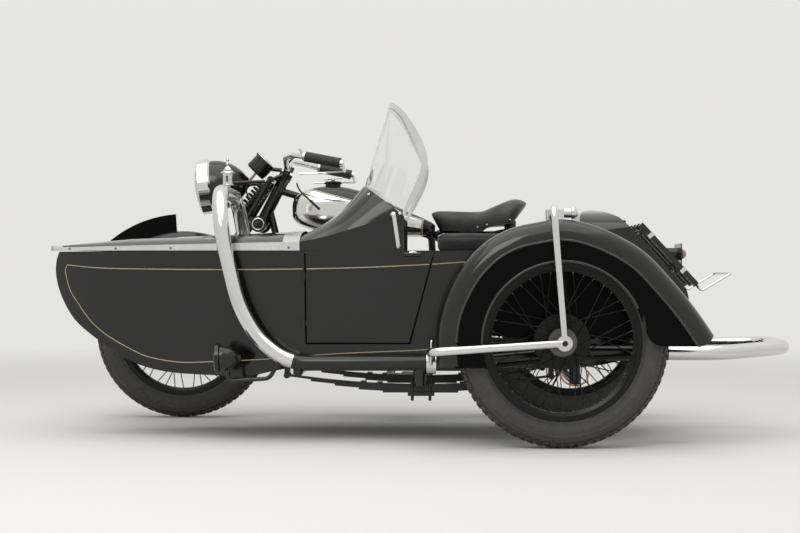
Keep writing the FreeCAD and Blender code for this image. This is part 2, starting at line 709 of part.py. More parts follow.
# Fuel tank, oil tank and saddle

def build_tank():
    stations = [(TANK_FRONT, 0.46, 790, 838), (TANK_FRONT - 18, 0.72, 762, 866),
                (TANK_FRONT - 70, 0.94, 736, 892),
                (TANK_FRONT - 190, 1.0, 712, 902), (790, 0.97, 706, 874), (640, 0.78, 708, 806),
                (TANK_BACK + 20, 0.56, 716, 766), (TANK_BACK, 0.42, 724, 752)]
    sections = []
    for x, share, low, high in stations:
        half = TANK_HALF_WIDTH * share
        corner = min(half, (high - low) / 2.0) * 0.8
        sections.append(ring_section(half, low, high, corner, x))
    tank = Part.makeLoft(sections, True, False)
    seat = vec(SEAT_LUG[0], 0, SEAT_LUG[1])
    run = seat - head_point(60)
    half = TANK_TUNNEL / 2.0
    tunnel = Part.makeCylinder(half, run.Length + 160, head_point(60) - run * 0.12, run)
    slot = slab([(head_point(60).x + 90, head_point(60).z + 20), (head_point(60).x + 90, 600),
                 (seat.x - 90, 600), (seat.x - 90, seat.z - 30)], -half, half)
    tank = tank.cut(tunnel.fuse(slot))
    along = vec(run.x, run.y, run.z).normalize()
    for share in (0.2, 0.72):
        at = head_point(60) + run * share
        tube_room = Part.makeCylinder(TUBE_RADIUS + SEAT_GAP, 26, at, along)
        pad = Part.makeCylinder(half + 4, 26, at, along).cut(tube_room)
        tank = tank.fuse(pad)
    x, y, z = FILLER
    cap = Part.makeCylinder(30, 26, vec(x, y, z - 12), vec(0, 0.1, 1))
    lever_post = Part.makeCylinder(5, 24, vec(x, y + 1, z + 8), vec(0, 0, 1))
    lever = Part.makeCylinder(3.5, 70, vec(x - 35, y + 2, z + 30), vec(1, 0, 0))
    PARTS["fuel_tank"] = fused([tank, cap, lever_post, lever])


def build_oil_tank():
    outline = [(396, 470), (560, 470), (548, 640), (404, 640)]
    tank = slab(outline, -STAY_Y - 62, -STAY_Y - SEAT_GAP - STAY_RADIUS)
    side_length = 62 - STAY_RADIUS - SEAT_GAP
    tank = tank.makeFillet(18, [edge for edge in tank.Edges if abs(edge.Length - side_length) < 1])
    cap = Part.makeCylinder(18, 16, vec(470, -STAY_Y - 34, 639), vec(0, 0, 1))
    PARTS["oil_tank"] = fused([tank, cap])


def build_saddle():
    stations = [(512, 46, 744, 806), (470, 66, 738, 812), (400, 92, 746, 808), (330, 124, 752, 816),
                (268, 150, 758, 842), (216, 158, 770, 856), (176, 138, 792, 856), (162, 96, 816, 852)]
    sections = [ring_section(half, low, high, (high - low) * 0.42, x) for x, half, low, high in stations]
    PARTS["saddle"] = Part.makeLoft(sections, True, False)


# Mudguards and plates of the motorcycle

def guard_section(half_width, radius):
    """Crowned mudguard section as steps of radius and Y."""
    w = half_width
    t = GUARD_WALL
    r = radius
    low = r - GUARD_SKIRT
    return [(low, -w), ("arc", (r - 7, -w * 0.72), (r, 0)), ("arc", (r - 7, w * 0.72), (low, w)),
            (low, w - t), ("arc", (r - 7 - t, (w - t) * 0.72), (r - t, 0)),
            ("arc", (r - 7 - t, -(w - t) * 0.72), (low, t - w)), (low, -w)]


def guard_block(half_width, radius):
    """Solid under a mudguard's outer surface, for what is seated on it."""
    w = half_width
    low = radius - GUARD_SKIRT
    return turned([(0, -w), (low, -w), ("arc", (radius - 7, -w * 0.72), (radius, 0)),
                   ("arc", (radius - 7, w * 0.72), (low, w)), (0, w)], (0, WHEEL_RADIUS))


def sector(section, centre, start, sweep):
    """Section turned about a wheel centre, from start degrees above the forward direction."""
    shape = turned(section, (0, 0), -sweep)
    shape.rotate(vec(0, 0, 0), vec(0, 1, 0), -start)
    shape.translate(vec(centre[0], 0, centre[1]))
    return shape


def on_wheel(centre_x, radius, angle):
    turn = math.radians(angle)
    return (centre_x + radius * math.cos(turn), WHEEL_RADIUS + radius * math.sin(turn))


def plate_arc(centre_x, low, high, start, end):
    """Side outline of a curved plate that stands on a mudguard."""
    middle = (start + end) / 2.0
    return [on_wheel(centre_x, low, start),
            ("arc", on_wheel(centre_x, low, middle), on_wheel(centre_x, low, end)),
            on_wheel(centre_x, high, end),
            ("arc", on_wheel(centre_x, high, middle), on_wheel(centre_x, high, start)),
            on_wheel(centre_x, low, start)]


def build_rear_mudguard():
    section = guard_section(REAR_GUARD_HALF_WIDTH, GUARD_RADIUS)
    guard = sector(section, (0, WHEEL_RADIUS), 24, 170)
    pieces = [guard]
    for side in (-1, 1):
        y = side * (REAR_GUARD_HALF_WIDTH - 3)
        for angle in (150, 186):
            x, z = on_wheel(0, GUARD_RADIUS - GUARD_SKIRT + 8, angle)
            pieces.append(rod(vec(x, y, z), vec(-6, side * (STAY_Y + 17), WHEEL_RADIUS), 5))
    washer = Part.makeCylinder(14, 11, vec(0, STAY_Y + 11 + SEAT_GAP, WHEEL_RADIUS), vec(0, 1, 0))
    hole = Part.makeCylinder(AXLE_RADIUS + RUNNING_FIT, 60, vec(0, STAY_Y - 20, WHEEL_RADIUS), vec(0, 1, 0))
    pieces += [washer, mirrored(washer)]
    PARTS["rear_mudguard"] = fused(pieces).cut(hole.fuse(mirrored(hole)))


def build_rear_plate():
    x = -421.0
    plate = box((x - 2, x + 2), (-92, 92), (496, 680))
    for y in (-PLATE_HOLE_Y, PLATE_HOLE_Y):
        plate = plate.cut(Part.makeCylinder(PLATE_HOLE_RADIUS, 10, vec(x - 5, y, PLATE_HOLE_Z), vec(1, 0, 0)))
    lamp_body = Part.makeCylinder(25, 46, vec(x + 48, 0, 640), vec(-1, 0, 0))
    lens = spun([(0, 0), (22, 0), (20, 14), (12, 25), (0, 28)], vec(x - 2, 0, 640), vec(-1, 0, 0))
    arm_x, arm_z = on_wheel(0, GUARD_RADIUS - 12, 150)
    arms = []
    for y in (-22, 22):
        arms.append(rod(vec(arm_x, y, arm_z), vec(x, y, 572), 6))
    under = guard_block(REAR_GUARD_HALF_WIDTH + SEAT_GAP, GUARD_RADIUS + SEAT_GAP)
    PARTS["rear_plate_and_lamp"] = fused([plate, lamp_body, lens] + arms).cut(under)


def build_footrests():
    """Footrest rail under the cradle, and the alloy foot plate on the sidecar's side."""
    rail_x, rail_z = FOOTREST
    pieces = [Part.makeCylinder(9, 380, vec(rail_x, -190, rail_z), vec(0, 1, 0))]
    for side in (-1, 1):
        pieces.append(Part.makeCylinder(16, 84, vec(rail_x, side * 106, rail_z), vec(0, side, 0)))
        top = cradle_z(rail_x) - STAY_RADIUS - 1 - SEAT_GAP
        pieces.append(box((rail_x - 12, rail_x + 12), (side * CRADLE_Y - 9, side * CRADLE_Y + 9), (rail_z, top)))
    pieces.append(slab([(548, 186), (650, 186), ("arc", (666, 169), (650, 152)), (560, 152),
                        ("arc", (538, 169), (548, 186))], 96, 176))
    pieces.append(box((640, rail_x), (120, 150), (rail_z - 5, rail_z + 5)))
    PARTS["footrests"] = fused(pieces)


# Steering body

def build_fork():
    top = vec(FORK_TOP[0], 0, FORK_TOP[1])
    link = vec(FORK_LINK[0], 0, FORK_LINK[1])
    axle = vec(WHEELBASE, 0, WHEEL_RADIUS)
    rear_link = head_point(HEAD_LENGTH + 12, 0)
    pieces = []
    for side in (-1, 1):
        y = vec(0, side * BLADE_Y, 0)
        high = vec(0, side * (BLADE_Y - 2), 0)
        pieces.append(rod(axle + y, top + high, BLADE_RADIUS))
        pieces.append(rod(axle + y + vec(-14, 0, 26), rear_link + y + vec(24, 0, 26), BLADE_RADIUS - 2))
        pieces.append(Part.makeCylinder(24, 10, axle + y - vec(0, 5, 0), vec(0, 1, 0)))
        pieces.append(rod(link + y, rear_link + y + vec(24, 0, 26), BLADE_RADIUS - 2))
    half = BLADE_Y + 30
    pieces.append(Part.makeCylinder(AXLE_RADIUS, 2 * half, axle - vec(0, half, 0), vec(0, 1, 0)))
    pieces.append(Part.makeCylinder(13, 2 * BLADE_Y - 10, top - vec(0, BLADE_Y - 5, 0), vec(0, 1, 0)))
    pieces.append(Part.makeCylinder(12, 2 * BLADE_Y, link - vec(0, BLADE_Y, 0), vec(0, 1, 0)))
    stem = rod(head_point(-44), head_point(HEAD_LENGTH + 24), STEM_RADIUS)
    yoke = HEAD_RADIUS + 3
    upper = fused([Part.makeCylinder(yoke, 14, head_point(-SEAT_GAP), head_point(-15) - head_point(0)),
                   Part.makeCylinder(9, 2 * yoke + 24, head_point(-12) - vec(0, yoke + 12, 0), vec(0, 1, 0))])
    for side in (-1, 1):
        arm_y = vec(0, side * (yoke + 8), 0)
        pieces.append(rod(head_point(-12) + arm_y, top + arm_y, 7))
    downward = head_point(20) - head_point(0)
    lower = fused([Part.makeCylinder(yoke, 20, head_point(HEAD_LENGTH + SEAT_GAP), downward),
                   Part.makeCylinder(11, 2 * BLADE_Y + 8, rear_link - vec(0, BLADE_Y + 4, 0), vec(0, 1, 0))])
    pieces += [stem, upper, lower]
    for side in (-1, 1):
        y = vec(0, side * (BLADE_Y + 4), 0)
        pieces.append(rod(rear_link + y, link + y, 10))
        damper_face = rear_link + vec(0, side * (BLADE_Y + 6), 0)
        damper = Part.makeCylinder(DAMPER_RADIUS, 12, damper_face, vec(0, side, 0))
        pieces.append(damper)
        knob = Part.makeCylinder(9, 12, rear_link + vec(0, side * (BLADE_Y + 18), 0), vec(0, side, 0))
        pieces.append(knob)
    back_y = -HUB_HALF_WIDTH - 1
    plate = Part.makeCylinder(DRUM_RADIUS, 4, vec(WHEELBASE, back_y, WHEEL_RADIUS), vec(0, -1, 0))
    pieces.append(plate)
    pieces.append(Part.makeCylinder(20, BLADE_Y + back_y, vec(WHEELBASE, back_y - 1, WHEEL_RADIUS), vec(0, -1, 0)))
    low = vec(FORK_SPRING_LOW[0], 0, FORK_SPRING_LOW[1])
    high = vec(FORK_SPRING_HIGH[0], 0, FORK_SPRING_HIGH[1])
    down = (low - high).normalize()
    base = low + down * SEAT_GAP
    cap = high - down * SEAT_GAP
    pieces += [Part.makeCylinder(24, 16, base, down), rod(link + down * 8, base + down * 12, 6),
               Part.makeCylinder(26, 8, cap, -down), rod(top, cap - down * 4, 12)]
    girders = fused(pieces)
    PARTS["fork_girders"] = Part.makeCompound([girders, fork_spring(low, high)])


def fork_spring(low, high):
    """Coil spring in front of the girders, on its two seats."""
    run = high - low
    axis = vec(run.x, run.y, run.z).normalize()
    height = run.Length - 2 * FORK_SPRING_WIRE - 8
    helix = Part.makeHelix(height / FORK_SPRING_TURNS, height, FORK_SPRING_RADIUS - FORK_SPRING_WIRE)
    wire_centre = vec(FORK_SPRING_RADIUS - FORK_SPRING_WIRE, 0, 0)
    section = Part.Wire(Part.makeCircle(FORK_SPRING_WIRE, wire_centre, vec(0, 1, 0)))
    coil = Part.Wire(helix).makePipeShell([section], True, True)
    coil.Placement = FreeCAD.Placement(low + axis * (FORK_SPRING_WIRE + 4), FreeCAD.Rotation(vec(0, 0, 1), axis))
    seats = [Part.makeCylinder(FORK_SPRING_RADIUS, 8, low, axis),
             Part.makeCylinder(FORK_SPRING_RADIUS, 8, high - axis * 8, axis), rod(low, high, 10)]
    return fused([coil] + seats)


def build_handlebar():
    clamp = head_point(-34)
    pieces = []
    for side in (-1, 1):
        inner = vec(clamp.x + 6, side * 40, clamp.z + 6)
        rise = vec(1108, side * 120, 1012)
        sweep = vec(1060, side * 300, 1010)
        front = vec(GRIP_FRONT[0], side * GRIP_FRONT[1], GRIP_FRONT[2])
        end = vec(GRIP_END[0], side * GRIP_END[1], GRIP_END[2])
        line = [clamp + vec(6, 0, 6), inner, rise, sweep, front, end]
        pieces.append(bent_rod(line, [20, 60, 50, 40], BAR_RADIUS))
        along = (end - front).normalize()
        pieces.append(rod(front + along * 14, end, GRIP_RADIUS))
        pieces.append(Part.makeCylinder(GRIP_RADIUS - 4, 12, end, along))
        pivot = end + along * 10
        lever_foot = pivot + vec(-8, 0, -30)
        pieces.append(rod(pivot, lever_foot, 6))
        tip = vec(front.x + 26, front.y - side * 10, front.z - 62)
        pieces.append(bent_rod([lever_foot, vec((tip.x + lever_foot.x) / 2 - 20, tip.y, tip.z + 2), tip], 60,
                               LEVER_RADIUS))
        block = Part.makeCylinder(17, 22, front - along * 10, along)
        pieces.append(block)
        pieces.append(rod(front + vec(0, 0, -8), front + vec(24, 0, 30), 6))
    stem_clamp = Part.makeCylinder(21, 22, head_point(-24), head_point(-20) - head_point(0))
    pieces.append(stem_clamp)
    bar = fused(pieces)
    hole = rod(head_point(-50), head_point(0), STEM_RADIUS)
    PARTS["handlebar"] = bar.cut(hole)


def lamp_axis():
    return vec(math.cos(LAMP_TILT), 0, -math.sin(LAMP_TILT))


def build_headlamp():
    centre = vec(LAMP_CENTRE[0], 0, LAMP_CENTRE[1])
    axis = lamp_axis()
    back = -axis
    r = LAMP_RADIUS
    rim = spun([(0, -6), (r - 8, -6), (r, 0), (r, LAMP_RIM_DEPTH - 8), (r - 8, LAMP_RIM_DEPTH),
                (0, LAMP_RIM_DEPTH)], centre, back)
    shell = spun([(0, LAMP_RIM_DEPTH), (r - 8, LAMP_RIM_DEPTH),
                  ("arc", (r * 0.72, LAMP_LENGTH * 0.68), (r * 0.22, LAMP_LENGTH - 8)),
                  (r * 0.16, LAMP_LENGTH), (0, LAMP_LENGTH)], centre, back)
    lens = spun([(0, -24), ("arc", (r * 0.5, -18), (r - 10, -6 - 0.02)), (0, -6 - 0.02)], centre, back)
    pieces = [rim, shell]
    top = vec(FORK_TOP[0], 0, FORK_TOP[1])
    link = vec(FORK_LINK[0], 0, FORK_LINK[1])
    for side in (-1, 1):
        lug = centre + back * 86 + vec(0, side * (r - 26), 0)
        pieces.append(Part.makeCylinder(12, 34, lug, vec(0, side, 0)))
        ear = lug + vec(0, side * 26, 0)
        pieces.append(rod(ear, top + (link - top) * 0.06 + vec(14, side * (BLADE_Y + 6), 2), 6))
        pieces.append(rod(ear, link + vec(18, side * (BLADE_Y + 8), 30), 6))
    PARTS["headlamp"] = fused(pieces).cut(PARTS["fork_girders"])
    PARTS["headlamp_lens"] = lens


def build_speedometer():
    centre = vec(SPEEDO_CENTRE[0], 0, SPEEDO_CENTRE[1])
    axis = vec(-1, 0, 1).normalize()
    r = SPEEDO_RADIUS
    case = spun([(0, -SPEEDO_DEPTH), (r - 8, -SPEEDO_DEPTH), (r - 4, -SPEEDO_DEPTH + 6), (r - 4, -8), (r, -8),
                 (r, 0), (r - 5, 4), (0, 4)], centre, axis)
    neck = rod(centre - axis * (SPEEDO_DEPTH - 8) + vec(-24, 0, 10), head_point(-26), 8)
    yoke_room = rod(head_point(10), head_point(-60), HEAD_RADIUS + 3 + SEAT_GAP)
    PARTS["speedometer"] = fused([case, neck]).cut(yoke_room)


def build_front_mudguard():
    section = guard_section(FRONT_GUARD_HALF_WIDTH, GUARD_RADIUS)
    guard = sector(section, (WHEELBASE, WHEEL_RADIUS), 22, 160)
    outline = plate_arc(WHEELBASE, GUARD_RADIUS - 1, GUARD_RADIUS + FRONT_PLATE_HEIGHT, 50, 86)
    half = FRONT_PLATE_THICKNESS / 2.0
    pieces = [guard, slab(outline, -half, half)]
    for side in (-1, 1):
        for angle in (24, 176):
            x, z = on_wheel(WHEELBASE, GUARD_RADIUS - GUARD_SKIRT + 8, angle)
            pieces.append(rod(vec(x, side * (FRONT_GUARD_HALF_WIDTH - 2), z),
                              vec(WHEELBASE, side * (BLADE_Y + 17), WHEEL_RADIUS), 4.5))
        outer_y = side * (BLADE_Y + BLADE_RADIUS + SEAT_GAP)
        pieces.append(Part.makeCylinder(14, 11, vec(WHEELBASE, outer_y, WHEEL_RADIUS),
                                        vec(0, side, 0)))
    hole = Part.makeCylinder(AXLE_RADIUS + RUNNING_FIT, 2 * BLADE_Y + 60,
                             vec(WHEELBASE, -BLADE_Y - 30, WHEEL_RADIUS), vec(0, 1, 0))
    PARTS["front_mudguard"] = fused(pieces).cut(hole)


# Sidecar hull

def hull_side(top):
    """Side outline of the boat-shaped hull, closed at the given height."""
    low_x, low_z = TAIL_LOW
    waist_x = TAIL_TOP[0] + (low_x - TAIL_TOP[0]) * (TAIL_TOP[1] - WAIST) / (TAIL_TOP[1] - low_z)
    return [(waist_x, top), (waist_x, WAIST), (low_x, low_z),
            ("curve", (low_x - 6, low_z - 70), (low_x + 50, 360), (-150, 286), (60, FLOOR)),
            (1000, FLOOR), ("curve", (1060, FLOOR - 8), (1140, KEEL), (1250, KEEL - 3)),
            ("curve", (1368, 221), (1476, 231), (1576, 259), (1665, 306), (1740, 354), (1800, 402),
             (1841, 458), (1872, 530), (1879, 590), (1864, WAIST)), (1864, top)]


def hull_plan(inset=0.0):
    """Plan outline of the hull, widest at the door and pointed at the stem."""
    w = BODY_HALF_WIDTH - inset
    tip = 1882.0 - inset * 3.0
    left = [(x, BODY_Y + w * share) for x, share in HULL_PLAN]
    right = [(x, BODY_Y - w * share) for x, share in reversed(HULL_PLAN)]
    return [(tip, BODY_Y - 3), (tip, BODY_Y + 3), ("curve",) + tuple(left) + ((800, BODY_Y + w), (500, BODY_Y + w),
            (150, BODY_Y + w * 0.97), (-110, BODY_Y + w * 0.88), (-360, BODY_Y + w * 0.74)),
            (-360, BODY_Y - w * 0.74),
            ("curve", (-110, BODY_Y - w * 0.88), (150, BODY_Y - w * 0.97), (500, BODY_Y - w), (800, BODY_Y - w))
            + tuple(right) + ((tip, BODY_Y - 3),)]


def tail_arch(inset=0.0):
    """Cross-section of the rounded tail above the waist, run along the body."""
    w = BODY_HALF_WIDTH - inset
    h = TAIL_ARCH_HEIGHT - inset
    points = [(-1.0, 0.0), (-0.93, 0.42), (-0.7, 0.78), (-0.35, 0.95), (0.0, 1.0),
              (0.35, 0.95), (0.7, 0.78), (0.93, 0.42), (1.0, 0.0)]
    curve = [(BODY_Y + w * y, WAIST + h * z) for y, z in points]
    steps = [(BODY_Y - w, WAIST - 60), curve[0], ("curve",) + tuple(curve[1:]), (BODY_Y + w, WAIST - 60)]
    face = Part.Face(wire_of(steps, lambda y, z: vec(-500, y, z)))
    return face.extrude(vec(1000, 0, 0))


def tail_side(inset=0.0):
    waist_x = TAIL_TOP[0] + (TAIL_LOW[0] - TAIL_TOP[0]) * (TAIL_TOP[1] - WAIST) / (TAIL_TOP[1] - TAIL_LOW[1])
    i = inset
    return [(34 - i, WAIST + SEAT_GAP), (36 - i, 748 - i),
            ("curve", (16 - i * 0.5, 778 - i), (-14, 786 - i), (-52, 780 - i),
             (TAIL_TOP[0] + i * 0.3, TAIL_TOP[1] - i)),
            (waist_x + i * 1.35, WAIST + SEAT_GAP)]


def slope_box(along, above, y):
    """Box set on the sloping back: along it from its top edge, above its surface, and in Y."""
    dx = TAIL_LOW[0] - TAIL_TOP[0]
    dz = TAIL_LOW[1] - TAIL_TOP[1]
    shape = Part.makeBox(along[1] - along[0], y[1] - y[0], above[1] - above[0], vec(along[0], y[0], -above[1]))
    shape.rotate(vec(0, 0, 0), vec(0, 1, 0), math.degrees(math.atan2(-dz, dx)))
    shape.translate(vec(TAIL_TOP[0], 0, TAIL_TOP[1]))
    return shape


def slope_point(along, above, y):
    length = math.hypot(TAIL_LOW[0] - TAIL_TOP[0], TAIL_LOW[1] - TAIL_TOP[1])
    ux, uz = (TAIL_LOW[0] - TAIL_TOP[0]) / length, (TAIL_LOW[1] - TAIL_TOP[1]) / length
    return vec(TAIL_TOP[0] + along * ux + above * uz, y, TAIL_TOP[1] + along * uz - above * ux)


def hull_solids():
    """Hull as a solid block and its inside as another."""
    low_y = BODY_Y - BODY_HALF_WIDTH - 10
    high_y = BODY_Y + BODY_HALF_WIDTH + 10
    outer = slab(hull_side(WAIST), low_y, high_y).common(plank(hull_plan(), 100, 900))
    inside = inset(hull_side(WAIST + 60), WALL)
    inner = slab(inside, low_y, high_y).common(plank(hull_plan(WALL), 100, 900))
    return outer, inner


def door_outline(gap):
    return [(DOOR_FRONT - gap, WAIST + 1), (DOOR_FRONT - 5 - gap, DOOR_BOTTOM + gap),
            (DOOR_BOTTOM_REAR + gap, DOOR_BOTTOM + gap), (DOOR_TOP_REAR + gap, WAIST + 1)]


def build_hull():
    outer, inner = hull_solids()
    shell = outer.cut(inner)
    near = BODY_Y + BODY_HALF_WIDTH
    doorway = slab(door_outline(0), near - 60, near + 20)
    lid_sides = (BODY_Y - LID_HALF_WIDTH, BODY_Y + LID_HALF_WIDTH)
    lid_hole = slope_box((LID_START, LID_START + LID_LENGTH), (-90, 40), lid_sides)
    skin = slab(door_outline(PANEL_GAP), near - 60, near + 20).common(shell)
    hull = shell.cut(doorway).cut(lid_hole)
    board_half = BODY_HALF_WIDTH - SPRING_TUCK
    seat_board = box((SEAT_BACK_X - 21, SEAT_BACK_X - SEAT_GAP), (BODY_Y - board_half, BODY_Y + board_half),
                     (FLOOR + WALL, 600))
    seat_board = seat_board.common(inner)
    PARTS["sidecar_hull"] = hull.fuse(seat_board)
    build_springs(outer)
    build_door(skin, near)
    build_tail(outer, inner, lid_hole)


def build_door(skin, near):
    pin_x = DOOR_FRONT
    pin_y = near + HINGE_RADIUS + 1.0
    pieces = [skin]
    for z in (DOOR_HINGE_HIGH, DOOR_HINGE_LOW):
        pieces.append(Part.makeCylinder(HINGE_RADIUS, HINGE_LENGTH, vec(pin_x, pin_y, z), vec(0, 0, 1)))
        leaf_z = (z + 6, z + HINGE_LENGTH - 6)
        pieces.append(box((pin_x - HINGE_LEAF, pin_x), (near - 3, near + 3), leaf_z))
        pieces.append(box((pin_x - HINGE_LEAF, pin_x - HINGE_LEAF + 9), (near - 10, near), leaf_z))
    handle_x = DOOR_TOP_REAR + DOOR_HANDLE_INSET
    handle_z = WAIST - DOOR_HANDLE_DROP
    handle = Part.makeCylinder(6, 22, vec(handle_x, near - 2, handle_z), vec(0, 1, 0))
    grip = Part.makeCylinder(7, 56, vec(handle_x - 26, near + 22, handle_z), vec(1, 0, 0))
    pieces += [handle, grip]
    PARTS["door"] = fused(pieces)


def build_tail(outer, inner, lid_hole):
    low_y = BODY_Y - BODY_HALF_WIDTH - 10
    high_y = BODY_Y + BODY_HALF_WIDTH + 10
    shape = slab(tail_side(), low_y, high_y).common(tail_arch()).common(plank(hull_plan(), 500, 900))
    hollow = slab(tail_side(WALL), low_y, high_y).common(tail_arch(WALL))
    hollow = hollow.common(plank(hull_plan(WALL), 500, 900))
    lower = hollow.copy()
    lower.translate(vec(0, 0, -6))
    tail = shape.cut(hollow).cut(lower)
    PARTS["tail"] = tail.cut(lid_hole)
    gap = PANEL_GAP
    y = (BODY_Y - LID_HALF_WIDTH + gap, BODY_Y + LID_HALF_WIDTH - gap)
    lid = slope_box((LID_START + gap, LID_START + LID_LENGTH - gap), (-WALL, 0), y)
    pieces = [lid]
    for offset in (-140, 140):
        at = slope_point(LID_START, HINGE_RADIUS + 1, BODY_Y + offset - 20)
        pieces.append(Part.makeCylinder(HINGE_RADIUS, 40, at, vec(0, 1, 0)))
        pieces.append(slope_box((LID_START, LID_START + 50), (-2, 3), (BODY_Y + offset - 18, BODY_Y + offset + 18)))
    PARTS["boot_lid"] = fused(pieces)
    build_rack()


def build_rack():
    """Slatted luggage rack on the boot lid, with a folding wire end."""
    pieces = []
    half = LID_HALF_WIDTH - RACK_INSET
    ends = (BODY_Y - half, BODY_Y + half)
    for share in (-1.0, -1.0 / 3.0, 1.0 / 3.0, 1.0):
        y = BODY_Y + share * (half - 5)
        pieces.append(slope_box((70, RACK_LENGTH), (32, 50), (y - 16, y + 16)))
    for along in (84, 262):
        pieces.append(slope_box((along, along + 22), (24, 33), ends))
        for y in (ends[0] + 50, ends[1] - 50):
            upward = slope_point(0, 1, 0) - slope_point(0, 0, 0)
            pieces.append(Part.makeCylinder(9, 26, slope_point(along + 11, 0, y), upward))
    length = RACK_LENGTH
    first = slope_point(length - 6, 40, ends[0])
    second = slope_point(length - 6, 40, ends[1])
    fold = vec(-100, 0, 60)
    near_corner = slope_point(length + 28, 40, ends[0] + 2)
    far_corner = slope_point(length + 28, 40, ends[1] - 2)
    loop = bent_rod([first + vec(0, 2, 0), near_corner, near_corner + fold, far_corner + fold, far_corner,
                     second - vec(0, 2, 0)], 12, 4)
    pieces.append(loop)
    PARTS["luggage_rack"] = fused(pieces)


# Sidecar deck, scuttle and screen

def deck_half_width(x):
    """Half width of the deck at a station, from the hull's plan."""
    shares = dict(HULL_PLAN)
    shares[1800] = 0.19
    shares[DECK_TIP] = 0.018
    return BODY_HALF_WIDTH * shares[x] + DECK_OVERHANG


def arch_section(x, half, low, side, ridge, power=2.4, drop=0.0):
    """Cross-section with upright sides and a crowned top, from the given heights."""
    def place(y, z):
        return vec(x, BODY_Y + y, z)
    points = []
    count = 8
    for index in range(1, count):
        y = -1 + 2.0 * index / count
        points.append((half * y, side + (ridge - side) * (1 - abs(y) ** power) ** (1.0 / power)))
    return wire_of([(-half, low), (-half, side), ("curve",) + tuple(points) + ((half, side),), (half, low)], place)


def build_deck():
    sections = []
    inner = []
    stations = (DECK_TIP, 1800.0) + tuple(x for x, share in HULL_PLAN)
    for x in stations:
        share = (DECK_TIP - x) / (DECK_TIP - SCUTTLE_FRONT)
        half = deck_half_width(x)
        edge = 656 + 16 * share
        ridge = 662 + 39 * share
        sections.append(arch_section(x, half, WAIST + SEAT_GAP + 3 * (1 - share), edge, ridge, 2.0))
        inner.append(arch_section(x, max(half - 16, 1.5), 600, edge - 10, ridge - 8 - 3 * share, 2.0))
    deck = Part.makeLoft(sections, True, False)
    hollow = Part.makeLoft(inner[1:], True, False)
    PARTS["nose_deck"] = deck.cut(hollow)


def screen_cylinder(grow):
    """Leaning elliptical cylinder that the windscreen is bent round."""
    sx, sz = SCREEN_BASE
    lean = (SCREEN_TOP[0] - sx) / (SCREEN_TOP[1] - sz)
    low = 560.0
    high = 1260.0
    deep = SCREEN_DEPTH + grow
    wide = SCREEN_HALF_WIDTH + grow
    at = vec(sx - SCREEN_DEPTH + lean * (low - sz), BODY_Y, low)
    steps = [(0, -wide), ("curve", (deep * 0.5, -wide * 0.866), (deep * 0.866, -wide * 0.5), (deep, 0),
                          (deep * 0.866, wide * 0.5), (deep * 0.5, wide * 0.866), (0, wide)),
             (-400, wide), (-400, -wide), (0, -wide)]
    face = Part.Face(wire_of(steps, lambda x, y: vec(at.x + x, at.y + y, low)))
    return face.extrude(vec(lean * (high - low), 0, high - low))


def screen_outline(inset=0.0):
    """Side outline of the windscreen's free edge and base."""
    i = inset
    return [(900, 890), (SCREEN_BASE[0] + 6, SCREEN_BASE[1] + 4), (632 + i * 0.3, 757 + i * 0.4),
            ("curve", (585 + i, 840), (553 + i, 944), (590 + i, 1050 - i * 0.6), (650 + i * 0.2, 1134 - i),
             (688, 1166 - i * 1.1)),
            (730, 1188 - i), (900, 1188)]


def scuttle_prism():
    """Space behind and above the line where the windscreen stands on the scuttle."""
    return [(900, 1400), (900, 974), (SCREEN_BASE[0] + 6, SCREEN_BASE[1] + 4), (632, 757), (632, 500),
            (200, 500), (200, 1400)]


def build_scuttle():
    stations = [(SCUTTLE_FRONT - SEAT_GAP, 0.985, 672, 701), (940, 0.99, 680, 726), (880, 0.995, 694, 766),
                (820, 1.0, 712, 826), (760, 1.0, 730, 893), (700, 1.0, 745, 950), (620, 1.0, 757, 1010)]
    outer = []
    inner = []
    for x, share, side, ridge in stations:
        half = BODY_HALF_WIDTH * share
        outer.append(arch_section(x, half, WAIST + SEAT_GAP, side, ridge, 2.1))
        inner.append(arch_section(x, half - 9, WAIST - 40, side - 4, ridge - 9, 2.1))
    shell = Part.makeLoft(outer, True, False).cut(Part.makeLoft(inner, True, False))
    prism = slab(scuttle_prism(), BODY_GAP - 100, BODY_Y + BODY_HALF_WIDTH + 100)
    cowl = shell.cut(prism).cut(screen_cylinder(-6))
    band_low = [(900, 960), (SCREEN_BASE[0] + 6, SCREEN_BASE[1] + 4), (632, 757), (640, 728),
                (SCREEN_BASE[0] + 20, SCREEN_BASE[1] - 24), (900, 930)]
    band_room = slab(band_low, BODY_GAP - 100, BODY_Y + BODY_HALF_WIDTH + 100)
    band = screen_cylinder(5).cut(screen_cylinder(-6)).common(band_room)
    PARTS["scuttle"] = cowl.fuse(band)


def build_screen():
    seat = vec(0, 0, SEAT_GAP)
    ring = slab(screen_outline(), BODY_GAP - 100, BODY_Y + BODY_HALF_WIDTH + 100)
    pane = slab(screen_outline(SCREEN_CHANNEL), BODY_GAP - 100, BODY_Y + BODY_HALF_WIDTH + 100)
    glass = screen_cylinder(0).cut(screen_cylinder(-SCREEN_SHEET)).common(pane)
    glass.translate(seat)
    frame = screen_cylinder(3.5).cut(screen_cylinder(-SCREEN_SHEET - 3.5)).common(ring.cut(pane))
    frame.translate(seat)
    PARTS["screen_glass"] = glass
    PARTS["screen_frame"] = frame


# Sidecar seat and hood

